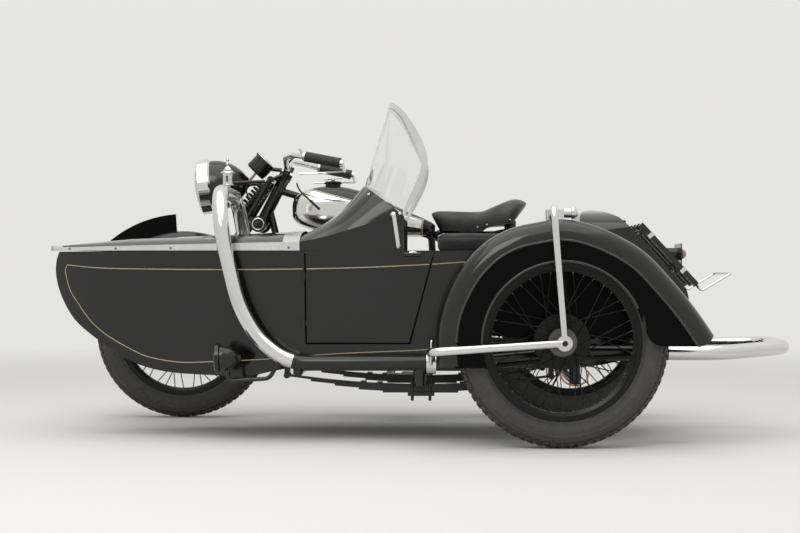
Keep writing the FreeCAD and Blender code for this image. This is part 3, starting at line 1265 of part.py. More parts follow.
def build_seat():
    half = BODY_HALF_WIDTH - WALL - SEAT_SIDE_GAP
    sides = (BODY_Y - half, BODY_Y + half)
    cushion = box((SEAT_BACK_X + 9, 560), sides, (FLOOR + WALL + SEAT_GAP, FLOOR + 160))
    cushion = cushion.makeFillet(22, [edge for edge in cushion.Edges if edge.BoundBox.ZMin > FLOOR + 100])
    high = WAIST - 4
    back = slab([(SEAT_BACK_X, FLOOR + 172), (240, FLOOR + 172), (178, high), (SEAT_BACK_X, high)],
                BODY_Y - half + 20, BODY_Y + half - 20)
    PARTS["seat"] = Part.makeCompound([cushion, back])


def build_hood_roll():
    r = HOOD_RADIUS
    z = WAIST + SEAT_GAP + r
    near = BODY_Y + BODY_HALF_WIDTH - 14
    far = BODY_Y - BODY_HALF_WIDTH + 14
    PARTS["hood_roll"] = bent_rod([vec(521, near - 2, z), vec(300, near - 6, z),
                                   vec(76, near - 16, z), vec(76, far + 16, z),
                                   vec(300, far + 6, z), vec(521, far + 2, z)], [300, 120, 120, 300], r)


# Sidecar chassis

def near_rail(radius):
    """Main tube on the outer side, from the hoop's joint back to the bumper's."""
    near = CHASSIS_NEAR_Y
    rear_z = BUMPER_Z - 8
    return bent_rod([rail_front(near), vec(CHASSIS_BEND_X, near, CHASSIS_Z), vec(420, near, CHASSIS_Z),
                     vec(60, BUMPER_NEAR_Y, rear_z), vec(BUMPER_START, BUMPER_NEAR_Y, rear_z)],
                    [CHASSIS_BEND, 600, 600], radius)


def far_rail(radius):
    far = CHASSIS_FAR_Y
    far_end = 2 * BODY_Y - BUMPER_NEAR_Y
    rear_z = BUMPER_Z - 8
    return bent_rod([rail_front(far), vec(CHASSIS_BEND_X, far, CHASSIS_Z), vec(420, far, CHASSIS_Z),
                     vec(60, far_end, rear_z), vec(BUMPER_START, far_end, rear_z)],
                    [CHASSIS_BEND, 600, 600], radius)


def rail_front(y):
    return vec(HOOP_JOINT, y, CHASSIS_Z + (HOOP_JOINT - CHASSIS_BEND_X) * math.tan(CHASSIS_RISE))


def build_chassis():
    near = CHASSIS_NEAR_Y
    far = CHASSIS_FAR_Y
    z = CHASSIS_Z
    pieces = [near_rail(CHASSIS_RADIUS), far_rail(FAR_RAIL_RADIUS)]
    front_x, middle_x, rear_x = CROSS_X
    far_end = 2 * BODY_Y - BUMPER_NEAR_Y
    pieces.append(rod(vec(front_x, far, FLOOR - 15), vec(front_x, near, FLOOR - 15), 12))
    pieces.append(rod(vec(middle_x, far, CROSS_Z), vec(middle_x, near, CROSS_Z), CROSS_RADIUS))
    pieces.append(rod(vec(rear_x, far_end - 10, CROSS_Z), vec(rear_x, BUMPER_NEAR_Y + 10, CROSS_Z), CROSS_RADIUS))
    for y in (near, far):
        pieces.append(rod(vec(front_x, y, FLOOR - 17), vec(front_x, y, z + 8), 16))
        pieces.append(rod(vec(middle_x, y, CROSS_Z - 14), vec(middle_x, y, z), 19))
    for y in (far_end, BUMPER_NEAR_Y):
        pieces.append(rod(vec(rear_x, y, CROSS_Z - 14), vec(rear_x, y, BUMPER_Z - 12), 19))
    frame_side = CRADLE_Y + STAY_RADIUS + 1 + SEAT_GAP
    for x in (1010, 760):
        strut_z = CRADLE_REAR[1] - 17
        pieces.append(bent_rod([vec(x - 30, far, z + (6 if x > 900 else 0)), vec(x, 150, strut_z),
                                vec(x, frame_side, strut_z)], 30, 12))
    pieces.append(bent_rod([vec(60, far_end, BUMPER_Z - 8), vec(60, 160, 332),
                            vec(60, STAY_Y + STAY_RADIUS + 1 + SEAT_GAP, 332)], 30, 12))
    pieces.append(rod(vec(560, far, z), vec(536, TUBE_RADIUS + 14, 556), 11))
    spindle_y = near + 50
    pieces.append(rod(vec(WHEEL_LEAD, near - 24, z + 24), vec(WHEEL_LEAD, spindle_y + 6, WHEEL_RADIUS), 20))
    pieces.append(Part.makeCylinder(24, TRACK - HUB_HALF_WIDTH - 2 - spindle_y + 6,
                                    vec(WHEEL_LEAD, spindle_y - 6, WHEEL_RADIUS), vec(0, 1, 0)))
    pieces.append(Part.makeCylinder(AXLE_RADIUS, OUTRIGGER_Y + SPINDLE_END - spindle_y,
                                    vec(WHEEL_LEAD, spindle_y, WHEEL_RADIUS), vec(0, 1, 0)))
    PARTS["sidecar_chassis"] = fused(pieces)


def build_hoop():
    near = CHASSIS_NEAR_Y
    far = CHASSIS_FAR_Y
    along = vec(math.cos(CHASSIS_RISE), 0, math.sin(CHASSIS_RISE))
    near_side = [rail_front(near) + along * SEAT_GAP]
    near_side += [vec(x, near - tuck, z) for (x, z), tuck in zip(HOOP_LEG, HOOP_LEG_TUCK)]
    near_side.append(vec(HOOP_CROWN_X, near - HOOP_CROWN_TUCK, HOOP_TOP_Z - HOOP_RADIUS))
    far_side = [vec(point.x, far + near - point.y, point.z) for point in reversed(near_side)]
    bends = list(HOOP_LEG_BENDS) + [HOOP_CROWN_BEND]
    PARTS["hoop"] = bent_rod(near_side + far_side, bends + bends[::-1], HOOP_RADIUS)
    build_marker_lamps(HOOP_CROWN_X)


def build_marker_lamps(x):
    """Lantern-shaped marker lamp on the crown of the hoop and a round one on the mudguard."""
    mast = spun([(0, -8), (9, -8), (9, 6), (17, 8), (17, 50), (20, 52), (9, 70), (4, 76), (4, 92), (6, 96), (0, 116)],
                vec(x, BODY_Y, HOOP_TOP_Z), vec(0, 0, 1))
    crown_end = vec(x, BODY_Y - 50, HOOP_TOP_Z - HOOP_RADIUS)
    crown = Part.makeCylinder(HOOP_RADIUS + SEAT_GAP, 100, crown_end, vec(0, 1, 0))
    lamp = vec(84, TRACK, WING_TOP + 22)
    length = WING_FOOT_X - SEAT_GAP - 84
    torpedo = spun([(0, -20), (12, -17), (19, -6), (20, 2), (16, 4), (16, length), (0, length)], lamp, vec(1, 0, 0))
    PARTS["marker_lamps"] = Part.makeCompound([mast.cut(crown), torpedo])


def build_springs(hull_block):
    """Leaf springs under the hull, clamped to the middle cross tube by U-bolts."""
    ceiling = hull_block.copy()
    ceiling.translate(vec(0, 0, -SEAT_GAP))
    top = CROSS_Z - CROSS_RADIUS - SEAT_GAP
    middle_x = CROSS_X[1]

    def camber(x):
        return top + LEAF_RISE * ((x - middle_x) / LEAF_FRONT) ** 2
    above = [middle_x + LEAF_FRONT, middle_x + LEAF_FRONT * 0.5, middle_x, middle_x - LEAF_REAR * 0.5,
             middle_x - LEAF_REAR]
    outline = [(above[0], camber(above[0])), ("curve",) + tuple((x, camber(x)) for x in above[1:])]
    shares = [1.0 - leaf / (LEAVES + 0.6) for leaf in range(LEAVES)]
    for leaf, share in enumerate(shares):
        x = middle_x - LEAF_REAR * share
        outline += [(x, camber(x) - LEAF_THICKNESS * leaf), (x, camber(x) - LEAF_THICKNESS * (leaf + 1))]
    for leaf, share in reversed(list(enumerate(shares))):
        x = middle_x + LEAF_FRONT * share
        outline += [(x, camber(x) - LEAF_THICKNESS * (leaf + 1)), (x, camber(x) - LEAF_THICKNESS * leaf)]
    pack_low = top - LEAF_THICKNESS * LEAVES
    packs = []
    spring_y = BODY_HALF_WIDTH - SPRING_TUCK
    for y in (BODY_Y - spring_y, BODY_Y + spring_y):
        pieces = [slab(outline, y - 22, y + 22)]
        for x in (middle_x - 30, middle_x + 30):
            for side in (-1, 1):
                pieces.append(Part.makeCylinder(5, 74, vec(x, y + side * 27, pack_low - 24), vec(0, 0, 1)))
        pieces.append(box((middle_x - 45, middle_x + 45), (y - 34, y + 34), (pack_low - 8, pack_low + 4)))
        for x in (middle_x + 140, middle_x + 195, middle_x - 140, middle_x - 195):
            pieces.append(box((x - 9, x + 9), (y - 26, y + 26), (camber(x) - 22, camber(x) + 5)))
        for x in (above[0], above[-1]):
            eye_z = camber(x) - 3
            pieces.append(Part.makeCylinder(11, 52, vec(x, y - 26, eye_z), vec(0, 1, 0)))
            pieces.append(box((x - 8, x + 8), (y - 26, y + 26), (eye_z, FLOOR + 6)))
        packs.append(fused(pieces).cut(ceiling))
    PARTS["leaf_springs"] = Part.makeCompound(packs)


# Sidecar mudguard

def wing_outline():
    """Side outline of the sidecar mudguard, open below."""
    cx, cz = WHEEL_LEAD, WHEEL_RADIUS
    return [(520, 262), ("curve", (524, 345), (514, 430), (480, 520), (430, 600), (360, 668), (280, 710),
                         (200, 729), (125, WING_TOP), (40, 727), (-56, 690), (-150, 632), (-240, 538),
                         (-310, 452), (-369, 366)),
            (-346, 339), (-318, 332), (-200, 332), ("arc", (-160, 352), (-146, 395)), (-138, 440),
            (cx - 240, cz - 20), (cx - 200, cz - 120), (cx + 200, cz - 120), (cx + 250, 262)]


def rounded_crown(block, radius):
    """Round the two long edges that run over the top of the wheel."""
    crown = [edge for edge in block.Edges if edge.BoundBox.XLength > 600 and edge.BoundBox.ZLength > 300]
    return block.makeFillet(radius, crown)


def build_wing():
    outline = wing_outline()
    block = rounded_crown(slab(outline, WING_INNER_Y, WING_OUTER_Y), WING_CROWN_FILLET)
    inside = slab(inset(outline, WING_WALL), WING_INNER_Y + WING_WALL, WING_OUTER_Y - WING_WALL)
    inside = rounded_crown(inside, WING_CROWN_FILLET - WING_WALL)
    shell = block.cut(inside)
    centre = (WHEEL_LEAD, WHEEL_RADIUS)
    across = vec(0, 1, 0)
    outer_room = Part.makeCylinder(WING_WHEEL_CUT, 80, vec(centre[0], WING_OUTER_Y - 40, centre[1]), across)
    inner_room = Part.makeCylinder(WING_INNER_CUT, 80, vec(centre[0], WING_INNER_Y - 40, centre[1]), across)
    below = box((-250, 700), (WING_INNER_Y - 10, WING_OUTER_Y + 10), (0, 258))
    low_y = WING_INNER_Y + WING_WALL
    tyre_room = Part.makeCylinder(WHEEL_RADIUS + 6, WING_OUTER_Y - WING_WALL - low_y,
                                  vec(centre[0], low_y, centre[1]), across)
    PARTS["sidecar_mudguard"] = shell.cut(tyre_room).cut(outer_room).cut(inner_room).cut(below)


def build_outrigger():
    """Chrome arm round the front of the mudguard to the outer end of the spindle, and its stay."""
    hub = vec(WHEEL_LEAD, OUTRIGGER_Y, WHEEL_RADIUS)
    near = CHASSIS_NEAR_Y
    elbow = vec(OUTRIGGER_X, OUTRIGGER_Y - 8, 314)
    arm = bent_rod([vec(OUTRIGGER_X, near + CHASSIS_RADIUS, 300), elbow, hub], 42, 14)
    boss = Part.makeCylinder(25, 22, hub - vec(0, 11, 0), vec(0, 1, 0))
    bore = Part.makeCylinder(AXLE_RADIUS + RUNNING_FIT, 60, hub - vec(0, 30, 0), vec(0, 1, 0))
    stay_top = vec(150, OUTRIGGER_Y - 10, WING_TOP + 38)
    stay = bent_rod([hub + vec(0, 0, 14), stay_top, vec(140, TRACK, WING_TOP + 26)], 34, 12)
    foot = box((WING_FOOT_X, 168), (TRACK - 20, TRACK + 24), (WING_TOP + SEAT_GAP, WING_TOP + 32))
    clamp = Part.makeCylinder(36, 32, vec(OUTRIGGER_X - 16, near, CHASSIS_Z), vec(1, 0, 0))
    clamp = clamp.fuse(rod(vec(OUTRIGGER_X, near, CHASSIS_Z), vec(OUTRIGGER_X, near + 34, 300), 14))
    clamp = clamp.cut(near_rail(CHASSIS_RADIUS + SEAT_GAP))
    PARTS["wheel_outrigger"] = fused([arm, boss, stay, foot, clamp]).cut(bore)


def build_bumper():
    near = BUMPER_NEAR_Y
    far = 2 * BODY_Y - near
    z = BUMPER_Z - 8
    start = BUMPER_START - SEAT_GAP
    points = [vec(start, near, z), vec(-430, near, z), vec(BUMPER_BACK, near - 150, BUMPER_Z + 4),
              vec(BUMPER_BACK, far + 150, BUMPER_Z + 4), vec(-430, far, z), vec(start, far, z)]
    PARTS["rear_bumper"] = bent_rod(points, [180, 150, 150, 180], BUMPER_RADIUS)


def build_fog_lamp():
    axis = vec(-1, 0, 0.03)
    y = CHASSIS_NEAR_Y
    r = 50.0
    body = spun([(0, -4), (r - 6, 0), (r, 4), (r, 16), (r - 6, 20), ("arc", (r * 0.7, 56), (r * 0.3, 80)),
                 (r * 0.2, 88), (0, 88)], vec(1263, y, 281), axis)
    foot = HOOP_LEG[0]
    arm = bent_rod([vec(1222, y, 250), vec(1216, y, 206), vec(foot[0] + 40, y, 214), vec(foot[0], y, foot[1])],
                   [14, 30], 7)
    corner = vec(foot[0], y, foot[1])
    inward = (corner - rail_front(y)).normalize()
    outward = (vec(HOOP_LEG[1][0], y, HOOP_LEG[1][1]) - corner).normalize()
    half_turn = inward.getAngle(outward) / 2.0
    lift = (outward - inward).normalize() * (HOOP_LEG_BENDS[0] / math.cos(half_turn) - HOOP_LEG_BENDS[0])
    along = (inward + outward).normalize() * 60
    seat = rod(corner + lift - along, corner + lift + along, HOOP_RADIUS + SEAT_GAP)
    PARTS["fog_lamp"] = body.fuse(arm.cut(seat))


# Everything is built, moved to its origin and written

def build_all():
    build_wheels()
    build_drive_chain()
    build_saddle()
    build_frame()
    build_engine()
    build_gearbox()
    build_primary_case()
    build_intake()
    build_exhaust()
    build_tank()
    build_oil_tank()
    build_rear_mudguard()
    build_rear_plate()
    build_footrests()
    build_fork()
    build_handlebar()
    build_headlamp()
    build_speedometer()
    build_front_mudguard()
    build_hull()
    build_deck()
    build_scuttle()
    build_screen()
    build_seat()
    build_hood_roll()
    build_chassis()
    build_hoop()
    build_wing()
    build_outrigger()
    build_bumper()
    build_fog_lamp()


def write_all():
    os.makedirs("parts", exist_ok=True)
    for name, shape in PARTS.items():
        shape.translate(vec(-ORIGIN_X, -ORIGIN_Y, 0))
        shape.exportStep("parts/" + name + ".step")


build_all()
write_all()
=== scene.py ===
"""Finish and small trim of a motorcycle with a touring sidecar, on a pale studio floor."""
import math

import bmesh
import bpy
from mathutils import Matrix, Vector
from mathutils.bvhtree import BVHTree


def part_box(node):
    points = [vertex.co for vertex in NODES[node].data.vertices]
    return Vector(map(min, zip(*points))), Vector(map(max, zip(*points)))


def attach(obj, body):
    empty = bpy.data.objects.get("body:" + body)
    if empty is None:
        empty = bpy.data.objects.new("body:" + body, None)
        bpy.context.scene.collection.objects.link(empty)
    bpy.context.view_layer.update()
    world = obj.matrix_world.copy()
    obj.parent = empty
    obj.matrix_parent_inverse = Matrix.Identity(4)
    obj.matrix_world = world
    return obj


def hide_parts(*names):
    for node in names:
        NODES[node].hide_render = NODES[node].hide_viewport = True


bl_info = {
    "name": "Sidecar outfit trim",
    "version": (1, 0, 0),
    "blender": (4, 5, 0),
    "location": "View3D > Sidebar > Outfit",
    "description": "Paint, rubber, chrome, leather and small trim of a motorcycle and sidecar",
    "category": "Object",
}

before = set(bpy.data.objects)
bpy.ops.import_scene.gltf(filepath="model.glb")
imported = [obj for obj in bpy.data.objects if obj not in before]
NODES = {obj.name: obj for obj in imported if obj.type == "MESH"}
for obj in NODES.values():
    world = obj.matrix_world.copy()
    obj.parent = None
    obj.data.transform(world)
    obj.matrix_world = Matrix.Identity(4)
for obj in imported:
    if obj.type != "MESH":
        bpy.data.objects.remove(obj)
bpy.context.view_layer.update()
MM = 0.001


# Places, in millimetres ahead of the rear axle, left of the motorcycle's middle and above the ground

def middle(node):
    low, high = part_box(node)
    return (low + high) / 2


REAR_AXLE = middle("rear_tyre")
ORIGIN = Vector((REAR_AXLE.x, REAR_AXLE.y, 0.0))


def at(x, y, z):
    return ORIGIN + Vector((x, y, z)) * MM


def from_origin(point):
    """A point of the model in the same millimetres as at()."""
    return (point - ORIGIN) / MM


def place_of(node):
    return from_origin(middle(node))


def reach(node):
    """Lowest and highest corner of a node, in mm."""
    return [from_origin(point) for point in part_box(node)]


WHEEL_RADIUS = reach("rear_tyre")[1].z / 2
BODY_Y = place_of("sidecar_hull").y
FRONT_WHEEL = place_of("front_tyre")
REAR_WHEEL = place_of("rear_tyre")
SIDECAR_WHEEL = place_of("sidecar_tyre")
WHEELS = {"front": (FRONT_WHEEL, -1, "front_wheel"), "rear": (REAR_WHEEL, 1, "rear_wheel"),
          "sidecar": (SIDECAR_WHEEL, -1, "sidecar_wheel")}


# Sizes and colours that a user may change

def in_mm(name, text, default):
    return bpy.props.FloatProperty(name=name, description=text + ", in mm", default=default)


def tint(name, text, default):
    return bpy.props.FloatVectorProperty(name=name, description=text, subtype="COLOR", default=default)


class OutfitSizes(bpy.types.PropertyGroup):
    tread_count: bpy.props.IntProperty(name="Tread lugs", description="Lugs round a tyre in each row",
                                       default=72)
    tread_depth: in_mm("Tread depth", "Height of a tread lug", 4.0)
    lug_length: in_mm("Lug length", "Length of a lug round the tyre", 24.0)
    stripe_width: in_mm("Stripe width", "Width of the gold line", 2.7)
    screw_radius: in_mm("Screw radius", "Radius of a trim screw's head", 4.5)
    chain_pitch: in_mm("Chain pitch", "Length of one chain link", 15.875)
    floor_radius: bpy.props.FloatProperty(name="Floor radius", description="Radius of the studio floor",
                                          default=14.0, unit="LENGTH")


class OutfitColours(bpy.types.PropertyGroup):
    coach_enamel: tint("Coach enamel", "Black of the sidecar's body", (0.006, 0.006, 0.0062))
    stripe_gold: tint("Stripe gold", "Gold of the body's lines", (0.50, 0.40, 0.20))
    rubber: tint("Rubber", "Tyres", (0.050, 0.049, 0.047))
    leather: tint("Leather", "Saddle and seat", (0.009, 0.0085, 0.008))
    hood_cloth: tint("Hood cloth", "Folded hood", (0.0085, 0.0085, 0.009))
    floor: tint("Floor", "Studio floor", (0.80, 0.795, 0.775))
    backdrop: tint("Backdrop", "Studio backdrop", (0.80, 0.795, 0.775))


def sizes():
    return bpy.context.scene.outfit_sizes


def colours():
    return bpy.context.scene.outfit_colours


# Node trees

class Tree:
    """Node tree with short ways to add its nodes."""

    def __init__(self, tree):
        self.tree = tree

    def fill(self, node, values):
        """Input values of a node. A value that is a socket is linked instead."""
        for key, value in values.items():
            if isinstance(value, bpy.types.NodeSocket):
                self.tree.links.new(value, node.inputs[key])
            else:
                node.inputs[key].default_value = value

    def add(self, kind, inputs=None, out=0, **settings):
        """One output of a new node with its settings and input values."""
        node = self.tree.nodes.new(kind)
        for key, value in settings.items():
            setattr(node, key, value)
        self.fill(node, inputs or {})
        return node.outputs[out] if node.outputs else node

    def ratio(self, value, low, high, out_low=0.0, out_high=1.0):
        """Smooth step of a value between two bounds."""
        bounds = {"From Min": low, "From Max": high, "To Min": out_low, "To Max": out_high}
        return self.add("ShaderNodeMapRange", {"Value": value, **bounds}, interpolation_type="SMOOTHSTEP")

    def maths(self, operation, first, second=0.0):
        return self.add("ShaderNodeMath", {0: first, 1: second}, operation=operation)

    def times(self, first, second):
        return self.maths("MULTIPLY", first, second)

    def plus(self, first, second):
        return self.maths("ADD", first, second)

    def minus(self, first, second):
        return self.maths("SUBTRACT", first, second)

    def vector(self, operation, first, second, out=0):
        return self.add("ShaderNodeVectorMath", {0: first, 1: second}, out, operation=operation)

    def mixed(self, share, first, second):
        """Colour between two colours."""
        def full(value):
            return value if isinstance(value, bpy.types.NodeSocket) else (*value[:3], 1.0)
        return self.add("ShaderNodeMix", {0: share, 6: full(first), 7: full(second)}, 2, data_type="RGBA")


def tinted(colour, factor):
    return tuple(min(1.0, part * factor) for part in colour)


class Surface(Tree):
    """Material in the making, with the piece's own coordinates as its place."""

    def __init__(self, name):
        self.material = bpy.data.materials.new(name)
        self.material.use_nodes = True
        super().__init__(self.material.node_tree)
        self.shader = self.tree.nodes["Principled BSDF"]
        self.place = self.add("ShaderNodeTexCoord", None, "Object")

    def noise(self, scale, detail=4.0, roughness=0.55, stretch=None):
        """Noise at a scale in patches a metre, stretched along the axes if asked."""
        vector = self.place
        if stretch:
            vector = self.add("ShaderNodeMapping", {"Vector": self.place, "Scale": stretch})
        return self.add("ShaderNodeTexNoise", {"Vector": vector, "Scale": scale, "Detail": detail,
                                               "Roughness": roughness}, "Fac")

    def span(self, colour, low, high, share):
        """Darker and lighter shade of a colour, mixed by a share."""
        return self.mixed(share, tinted(colour, low), tinted(colour, high))

    def done(self, colour, rough, bump=None, **others):
        """The material, from its colour, roughness, bump of (height, strength, distance) and other values."""
        values = {OTHER_INPUTS[name]: value for name, value in others.items()}
        if bump:
            height, strength, distance = bump
            values["Normal"] = self.add("ShaderNodeBump", {"Height": height, "Strength": strength,
                                                           "Distance": distance})
        self.fill(self.shader, {"Base Color": colour, "Roughness": rough, **values})
        return self.material


OTHER_INPUTS = {"metal": "Metallic", "level": "Specular IOR Level", "ior": "IOR",
                "clear": "Transmission Weight", "coat": "Coat Weight", "sheen": "Sheen Weight",
                "sheen_rough": "Sheen Roughness"}


# Kinds of finish

def enamel(name, colour, roughness=0.12, level=0.5, dust=0.012):
    """Gloss enamel with faint haze, dust on upward faces and slight waviness."""
    s = Surface(name)
    haze = s.noise(5.0)
    normal = s.add("ShaderNodeNewGeometry", None, "Normal")
    up = s.add("ShaderNodeSeparateXYZ", {0: normal}, "Z")
    dusty = s.times(s.ratio(up, 0.2, 1.0), s.ratio(haze, 0.35, 0.75, 0.3, 1.0))
    base = s.span(colour, 0.8, 1.3, haze)
    return s.done(s.mixed(s.times(dusty, dust), base, (0.42, 0.40, 0.36)),
                  s.ratio(haze, 0.3, 0.75, roughness * 0.75, roughness * 1.35),
                  (s.noise(160.0, 2.0), 0.03, 0.0004), level=level)


def bright_metal(name, colour, roughness=0.09, spread=0.06, brush=None, dull=0.0):
    """Plated or polished metal with smears, fine scratches and dull specks."""
    s = Surface(name)
    smear = s.noise(9.0)
    scratch = s.noise(120.0, 6.0, 0.7, brush)
    worn = s.times(s.ratio(s.noise(340.0, 2.0), 0.62, 0.75), 0.35 + dull)
    base = s.span(colour, 0.94, 1.0, s.ratio(smear, 0.3, 0.7))
    rough = s.plus(s.ratio(smear, 0.35, 0.7, 0.0, spread),
                   s.ratio(scratch, 0.4, 0.7, roughness * 0.8, roughness * 1.3))
    return s.done(s.mixed(worn, base, tinted(colour, 0.6)), rough, (scratch, 0.05, 0.0003), metal=1.0)


def cast_metal(name, colour, roughness=0.42, metallic=0.85, oil=0.35):
    """Sand-cast or raw metal with a fine pitted skin and darker patches of oil."""
    s = Surface(name)
    patch = s.noise(14.0, 5.0)
    pits = s.noise(520.0, 3.0, 0.6)
    base = s.mixed(s.ratio(patch, 0.4, 0.75), colour, tinted(colour, 1.0 - oil))
    return s.done(s.mixed(s.ratio(pits, 0.6, 0.8), base, tinted(colour, 0.55)),
                  s.ratio(patch, 0.35, 0.7, roughness * 0.8, roughness * 1.25), (pits, 0.25, 0.0006),
                  metal=metallic)


def hide(name, colour, scale=420.0, roughness=0.42):
    """Leather: pebbled grain from cells, creases, painted shade along the grain's creases, and polish where it
    is worn.
    """
    s = Surface(name)
    wear = s.noise(11.0, 5.0)
    cells = s.add("ShaderNodeTexVoronoi", {"Vector": s.place, "Scale": scale}, "Distance",
                  feature="DISTANCE_TO_EDGE")
    fold = s.noise(38.0, 6.0, 0.65, (1.0, 2.4, 1.0))
    base = s.mixed(s.ratio(wear, 0.42, 0.72), colour, tinted(colour, 2.1))
    # Painted shade: darker along the cells' edges, where the grain's creases lie.
    creased = s.times(s.ratio(cells, 0.0, 0.12, 1.0, 0.0), 0.35)
    height = s.plus(s.times(s.ratio(cells, 0.0, 0.2), 0.5), fold)
    return s.done(s.mixed(creased, base, tinted(colour, 0.35)),
                  s.ratio(wear, 0.35, 0.7, roughness * 1.2, roughness * 0.72), (height, 0.35, 0.0012),
                  level=0.5)


def woven(name, colour):
    """Proofed cloth: a fine two-way weave with faded ridges."""
    s = Surface(name)
    fade = s.noise(16.0, 5.0)
    threads = []
    for direction in ("X", "Z"):
        threads.append(s.add("ShaderNodeTexWave", {"Vector": s.place, "Scale": 900.0, "Distortion": 0.6}, "Fac",
                             bands_direction=direction))
    weave = s.times(*threads)
    base = s.mixed(s.ratio(fade, 0.4, 0.75), colour, tinted(colour, 2.3))
    return s.done(s.mixed(s.times(weave, 0.4), base, tinted(colour, 0.5)), s.ratio(fade, 0.3, 0.7, 0.697, 0.82),
                  (s.plus(weave, s.times(fade, 2.0)), 0.2, 0.0008), sheen=0.25, sheen_rough=0.5)


def rubber(name, colour, roughness=0.62, dust=0.3):
    """Rubber, greyed by dust in patches, with fine pores."""
    s = Surface(name)
    patch = s.noise(7.0, 5.0)
    streak = s.noise(60.0, 4.0)
    base = s.span(colour, 0.85, 1.15, s.ratio(streak, 0.35, 0.7))
    share = s.times(s.ratio(patch, 0.42, 0.75), dust)
    return s.done(s.mixed(share, base, (0.10, 0.096, 0.090)),
                  s.ratio(patch, 0.3, 0.7, roughness * 0.85, roughness * 1.2),
                  (s.plus(s.noise(700.0, 2.0), streak), 0.12, 0.0005), level=0.38)


def wheel_finish(name, centre):
    """Black enamelled rim and spokes and an alloy hub, by the distance from the axle."""
    s = Surface(name)
    flat = s.vector("MULTIPLY", s.vector("SUBTRACT", s.place, at(*centre)), (1.0, 0.0, 1.0))
    outer = s.ratio(s.add("ShaderNodeVectorMath", {0: flat}, "Value", operation="LENGTH"), 0.045, 0.047)
    patch = s.noise(30.0, 4.0)
    hub = s.mixed(patch, (0.08, 0.075, 0.066), (0.17, 0.16, 0.145))
    black = s.mixed(patch, (0.004, 0.004, 0.004), (0.008, 0.008, 0.008))
    rough = s.plus(s.ratio(outer, 0.0, 1.0, 0.42, 0.2), s.ratio(patch, 0.3, 0.7, 0.0, 0.08))
    return s.done(s.mixed(outer, hub, black), rough, (s.noise(300.0), 0.08, 0.0004),
                  metal=s.ratio(outer, 0.0, 1.0, 0.75, 0.0), level=0.22)


def clear_glass(name, colour):
    """Clear sheet: let through, with gloss and faint marks."""
    s = Surface(name)
    marks = s.noise(18.0, 5.0)
    return s.done(s.span(colour, 0.97, 1.0, marks), s.ratio(marks, 0.4, 0.8, 0.0, 0.05), ior=1.45, clear=1.0)


def two_part(name, along, split, front, back):
    """Two metals or paints on one node, split where its place along a direction passes a value in metres.
    front and back are (colour, metallic, roughness)."""
    s = Surface(name)
    run = s.vector("DOT_PRODUCT", s.place, along, "Value")
    share = s.ratio(run, split - 0.0004, split + 0.0004)
    patch = s.noise(22.0, 4.0)
    colour = s.mixed(share, s.span(back[0], 0.85, 1.15, patch), s.span(front[0], 0.93, 1.0, patch))
    rough = s.plus(s.ratio(share, 0.0, 1.0, back[2], front[2]), s.ratio(patch, 0.3, 0.7, 0.0, 0.06))
    return s.done(colour, rough, (s.noise(260.0), 0.05, 0.0003),
                  metal=s.ratio(share, 0.0, 1.0, back[1], front[1]))


def fluted_glass(name):
    """Lamp glass with upright flutes."""
    s = Surface(name)
    flutes = s.add("ShaderNodeTexWave", {"Vector": s.place, "Scale": 26.0}, "Fac", bands_direction="Y")
    marks = s.noise(30.0)
    return s.done(s.mixed(marks, (0.86, 0.87, 0.86), (0.95, 0.96, 0.95)), s.ratio(marks, 0.3, 0.8, 0.02, 0.1),
                  (flutes, 0.5, 0.002), clear=0.85)


def coloured_glass(name, colour):
    """Thick coloured lens with a lattice of small prisms, each darker at its middle and lighter towards its
    edges: painted shade and glint of the prisms.
    """
    s = Surface(name)
    prisms = s.add("ShaderNodeTexVoronoi", {"Vector": s.place, "Scale": 260.0}, "Distance")
    # Tone by the distance from each prism's middle: painted shade and glint.
    return s.done(s.span(colour, 0.6, 1.5, prisms), s.ratio(prisms, 0.0, 0.6, 0.05, 0.16), (prisms, 0.3, 0.001),
                  clear=0.35)


def gold_line(name, colour):
    """Hand-drawn gold line, its tone a little uneven along it."""
    s = Surface(name)
    brushed = s.noise(45.0, 5.0)
    return s.done(s.span(colour, 0.72, 1.25, brushed), s.ratio(brushed, 0.3, 0.7, 0.28, 0.45), metal=0.25,
                  coat=0.5)


def tank_finish(name):
    """Plated sides, black enamel above and behind them, and a cream line where they meet."""
    s = Surface(name)
    offset = s.vector("SUBTRACT", s.place, at(860, 0, 846))
    x = s.add("ShaderNodeSeparateXYZ", {0: offset}, "X")
    z = s.add("ShaderNodeSeparateXYZ", {0: offset}, "Z")
    above = s.minus(z, s.times(x, 0.27))
    drop = s.plus(z, 0.113)
    bow = s.times(s.times(drop, drop), 3.0)
    behind = s.minus(s.minus(-0.276, x), bow)
    level = s.maths("MAXIMUM", above, behind)
    share = s.ratio(level, -0.0006, 0.0006)
    line = s.maths("LESS_THAN", s.maths("ABSOLUTE", s.minus(level, 0.004)), 0.0018)
    patch = s.noise(12.0)
    plated = s.mixed(patch, (0.66, 0.66, 0.64), (0.76, 0.76, 0.74))
    painted = s.mixed(patch, (0.006, 0.006, 0.006), (0.009, 0.009, 0.009))
    return s.done(s.mixed(line, s.mixed(share, plated, painted), (0.52, 0.46, 0.30)),
                  s.ratio(patch, 0.3, 0.7, 0.1, 0.16), (s.noise(200.0), 0.02, 0.0003),
                  metal=s.ratio(share, 0.0, 1.0, 1.0, 0.0))


DIAL_CENTRE = Vector((1196.0, 0.0, 1007.0))
DIAL_AXIS = Vector((-1.0, 0.0, 1.0)).normalized()


